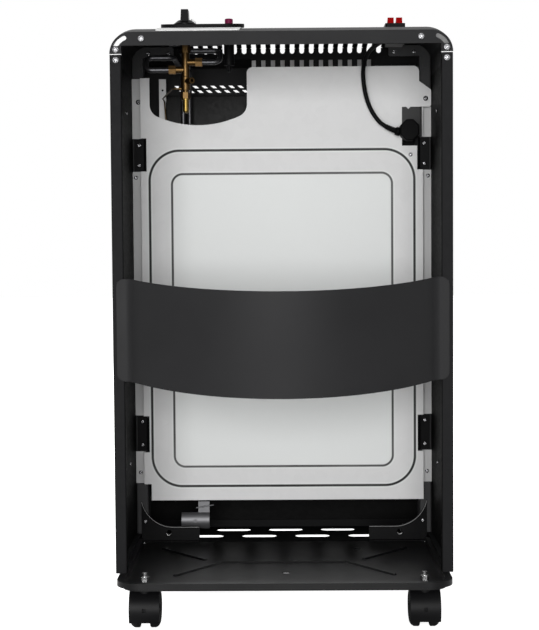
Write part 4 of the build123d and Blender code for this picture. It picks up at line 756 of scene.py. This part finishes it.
def through(first, middle, last, steps):
    """Points of the circle through three points, from the first to the last."""
    (ax, az), (bx, bz), (cx, cz) = first, middle, last
    d = 2 * (ax * (bz - cz) + bx * (cz - az) + cx * (az - bz))
    a, b, c = ax * ax + az * az, bx * bx + bz * bz, cx * cx + cz * cz
    ox = (a * (bz - cz) + b * (cz - az) + c * (az - bz)) / d
    oz = (a * (cx - bx) + b * (ax - cx) + c * (bx - ax)) / d
    start, end = atan2(az - oz, ax - ox), atan2(cz - oz, cx - ox)
    if end - start > pi:
        end -= 2 * pi
    if start - end > pi:
        end += 2 * pi
    radius = hypot(ax - ox, az - oz)
    return [(ox + radius * cos(start + (end - start) * k / steps),
             oz + radius * sin(start + (end - start) * k / steps)) for k in range(steps + 1)]


CORNER_SCREWS = (-199.6, 200.0)             # where the partition's upper screws stand
SHADE_RING_RADII = (3.5, 1.4)                   # outer and inner radius of a screw's painted shade ring


def painted_shade_rings():
    """Dark rings of painted shade round the two screws that hold the partition's upper corners."""
    for low, high in islands("screws"):
        x, z = (low.x + high.x) / 2 / MM, (low.z + high.z) / 2 / MM - LEVEL
        if min(abs(x - place) for place in CORNER_SCREWS) < 0.2:
            seat = low.y + (high.x - low.x) / 2 * SCREW_HEIGHT / SCREW_RADIUS
            name = "screw_shade_ring_" + ("left" if x < 0 else "right")
            outer, inner = SHADE_RING_RADII
            ring = [arc(x, z, outer, 0, 350, 35), arc(x, z, inner, 0, 340, 17)]
            sheet(name, ring, (seat - REAR) / MM - 0.25, 0.2, "dark_paint")


# A pale strip on the knob's skirt: a painted highlight.
HIGHLIGHT_TURN, HIGHLIGHT_HALF = -20, 1.1       # degrees, and half its width
HIGHLIGHT_LINE = ((8.6, 757.2), (9.6, 757.4), (14.2, 753.6), (14.7, 752.6), (14.6, 751.2),
                (9.0, 754.8))               # its outline, in reach from the axis and height


def knob_highlight_strip():
    """A pale strip that runs down the skirt of the knob, as a painted highlight."""
    low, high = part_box("control_knob")
    middle = (low + high) / 2
    turn = radians(HIGHLIGHT_TURN)
    way, across = Vector((cos(turn), sin(turn), 0)), Vector((-sin(turn), cos(turn), 0))
    bm = bmesh.new()
    sides = []
    for half in (-HIGHLIGHT_HALF, HIGHLIGHT_HALF):
        sides.append([bm.verts.new(Vector((middle.x, middle.y, 0)) + way * r * MM
                                   + across * half * MM + Vector((0, 0, (z + LEVEL) * MM)))
                      for r, z in HIGHLIGHT_LINE])
    join_rings(bm, sides)
    bmesh.ops.bevel(bm, geom=list(bm.edges), offset=0.12 * MM, segments=2, affect="EDGES")
    piece_from("knob_highlight_strip", mesh_of(bm, "knob_highlight_strip"), "pale_trim", "knob")


shield_and_comb()
painted_corner_light()
seam_strips()
gusset_trims()
painted_shade_rings()
knob_highlight_strip()


# ---- heating coils inside the quartz tubes ----------------------------------------------
COIL_TURNS, COIL_STEPS = 60, 10             # steps are those of each turn
COIL_RADIUS, COIL_WIRE, COIL_INSET = 0.0028, 0.0004, 0.026      # metres


def heating_coils():
    """A wound wire inside each quartz tube."""
    for number, (low, high) in enumerate(islands("quartz_tubes")):
        centre = (low + high) / 2
        reach = (high.x - low.x) / 2 - COIL_INSET
        points = []
        for step in range(COIL_TURNS * COIL_STEPS + 1):
            turn = 2 * pi * step / COIL_STEPS
            x = centre.x - reach + 2 * reach * step / (COIL_TURNS * COIL_STEPS)
            points.append((x, centre.y + COIL_RADIUS * cos(turn),
                           centre.z + COIL_RADIUS * sin(turn)))
        data = curve("coil_%d" % number, points, COIL_WIRE)
        piece_from("heating_coil_%d" % number, data, "steel", MAIN)


heating_coils()


# ---- floor, light and camera ------------------------------------------------------------
FLOOR_GLOW = 0.88                           # what the camera sees beside the floor's own light


def floor():
    """A pale floor that keeps the heater's shadow and is white to the camera."""
    bm = bmesh.new()
    bmesh.ops.create_grid(bm, x_segments=1, y_segments=1, size=12.0)
    plane = bpy.data.objects.new("floor", mesh_of(bm, "floor"))
    bpy.context.scene.collection.objects.link(plane)
    nodes = Nodes("pale_floor", Base_Color=(0.9, 0.9, 0.9, 1), Roughness=0.9,
                  Specular_IOR_Level=0.1)
    glow = nodes.add("ShaderNodeEmission", {"Color": (1, 1, 1, 1), "Strength": FLOOR_GLOW})
    seen = nodes.add("ShaderNodeLightPath")
    both = nodes.add("ShaderNodeAddShader")
    dark = nodes.add("ShaderNodeEmission", {"Strength": 0.0})
    pick = nodes.add("ShaderNodeMixShader")
    nodes.link(seen.outputs["Is Camera Ray"], pick.inputs[0])
    nodes.link(dark.outputs[0], pick.inputs[1])
    nodes.link(glow.outputs[0], pick.inputs[2])
    nodes.link(nodes.shader.outputs[0], both.inputs[0])
    nodes.link(pick.outputs[0], both.inputs[1])
    nodes.link(both.outputs[0], nodes.tree.nodes["Material Output"].inputs["Surface"])
    plane.data.materials.append(nodes.material)


def world_light(level):
    """White where it is seen, mirrored or seen through, and a plain level as light."""
    world = bpy.data.worlds.new("studio")
    bpy.context.scene.world = world
    world.use_nodes = True
    tree = world.node_tree
    back = tree.nodes["Background"]
    back.inputs["Color"].default_value = (1, 1, 1, 1)
    path = tree.nodes.new("ShaderNodeLightPath")
    seen = path.outputs["Is Camera Ray"]
    for ray in ("Is Glossy Ray", "Is Transmission Ray"):
        either = tree.nodes.new("ShaderNodeMath")
        either.operation = "MAXIMUM"
        tree.links.new(seen, either.inputs[0])
        tree.links.new(path.outputs[ray], either.inputs[1])
        seen = either.outputs[0]
    strength = tree.nodes.new("ShaderNodeMapRange")
    strength.inputs["To Min"].default_value = level
    strength.inputs["To Max"].default_value = 1.0
    tree.links.new(seen, strength.inputs["Value"])
    tree.links.new(strength.outputs["Result"], back.inputs["Strength"])


def lamp(name, place, target, size, power, mirrored=True):
    """A soft square lamp that looks at a point, and may be kept out of reflections."""
    data = bpy.data.lights.new(name, "AREA")
    data.size = size
    data.energy = power
    light = bpy.data.objects.new(name, data)
    light.location = place
    light.visible_glossy = mirrored
    light.rotation_euler = (Vector(target) - Vector(place)).to_track_quat("-Z", "Y").to_euler()
    bpy.context.scene.collection.objects.link(light)


PHOTO_WIDTH = 539
FOCAL = 1383.3                      # pixels
CAMERA = at(-0.3, -1702.1, 461.4)
PITCH, ROLL, YAW = radians(2.710), radians(0.414), radians(-0.542)


def camera():
    """The photograph's camera: behind the heater, a little left of its middle, level with it."""
    data = bpy.data.cameras.new("camera")
    data.sensor_fit = "HORIZONTAL"
    data.sensor_width = 36.0
    data.lens = data.sensor_width * FOCAL / PHOTO_WIDTH
    view = bpy.data.objects.new("camera", data)
    bpy.context.scene.collection.objects.link(view)
    bpy.context.scene.camera = view
    ahead = Vector((sin(YAW) * cos(PITCH), cos(YAW) * cos(PITCH), -sin(PITCH)))
    right = Vector((cos(YAW), -sin(YAW), 0))
    up = right.cross(ahead)
    tilted_right = cos(ROLL) * right - sin(ROLL) * up
    tilted_up = cos(ROLL) * up + sin(ROLL) * right
    turn = Matrix((tilted_right, tilted_up, -ahead)).transposed()
    view.matrix_world = Matrix.Translation(CAMERA) @ turn.to_4x4()


floor()
world_light(0.45)
lamp("key", at(-300, -3900, 420), at(0, 0, 330), size=2.2, power=178)
lamp("top", at(100, 500, 2600), at(0, 100, 700), size=1.6, power=4)
lamp("front", at(-2000, 3000, 1300), at(0, 340, 400), size=2.0, power=110, mirrored=False)
camera()
bpy.context.scene.view_settings.view_transform = "Standard"
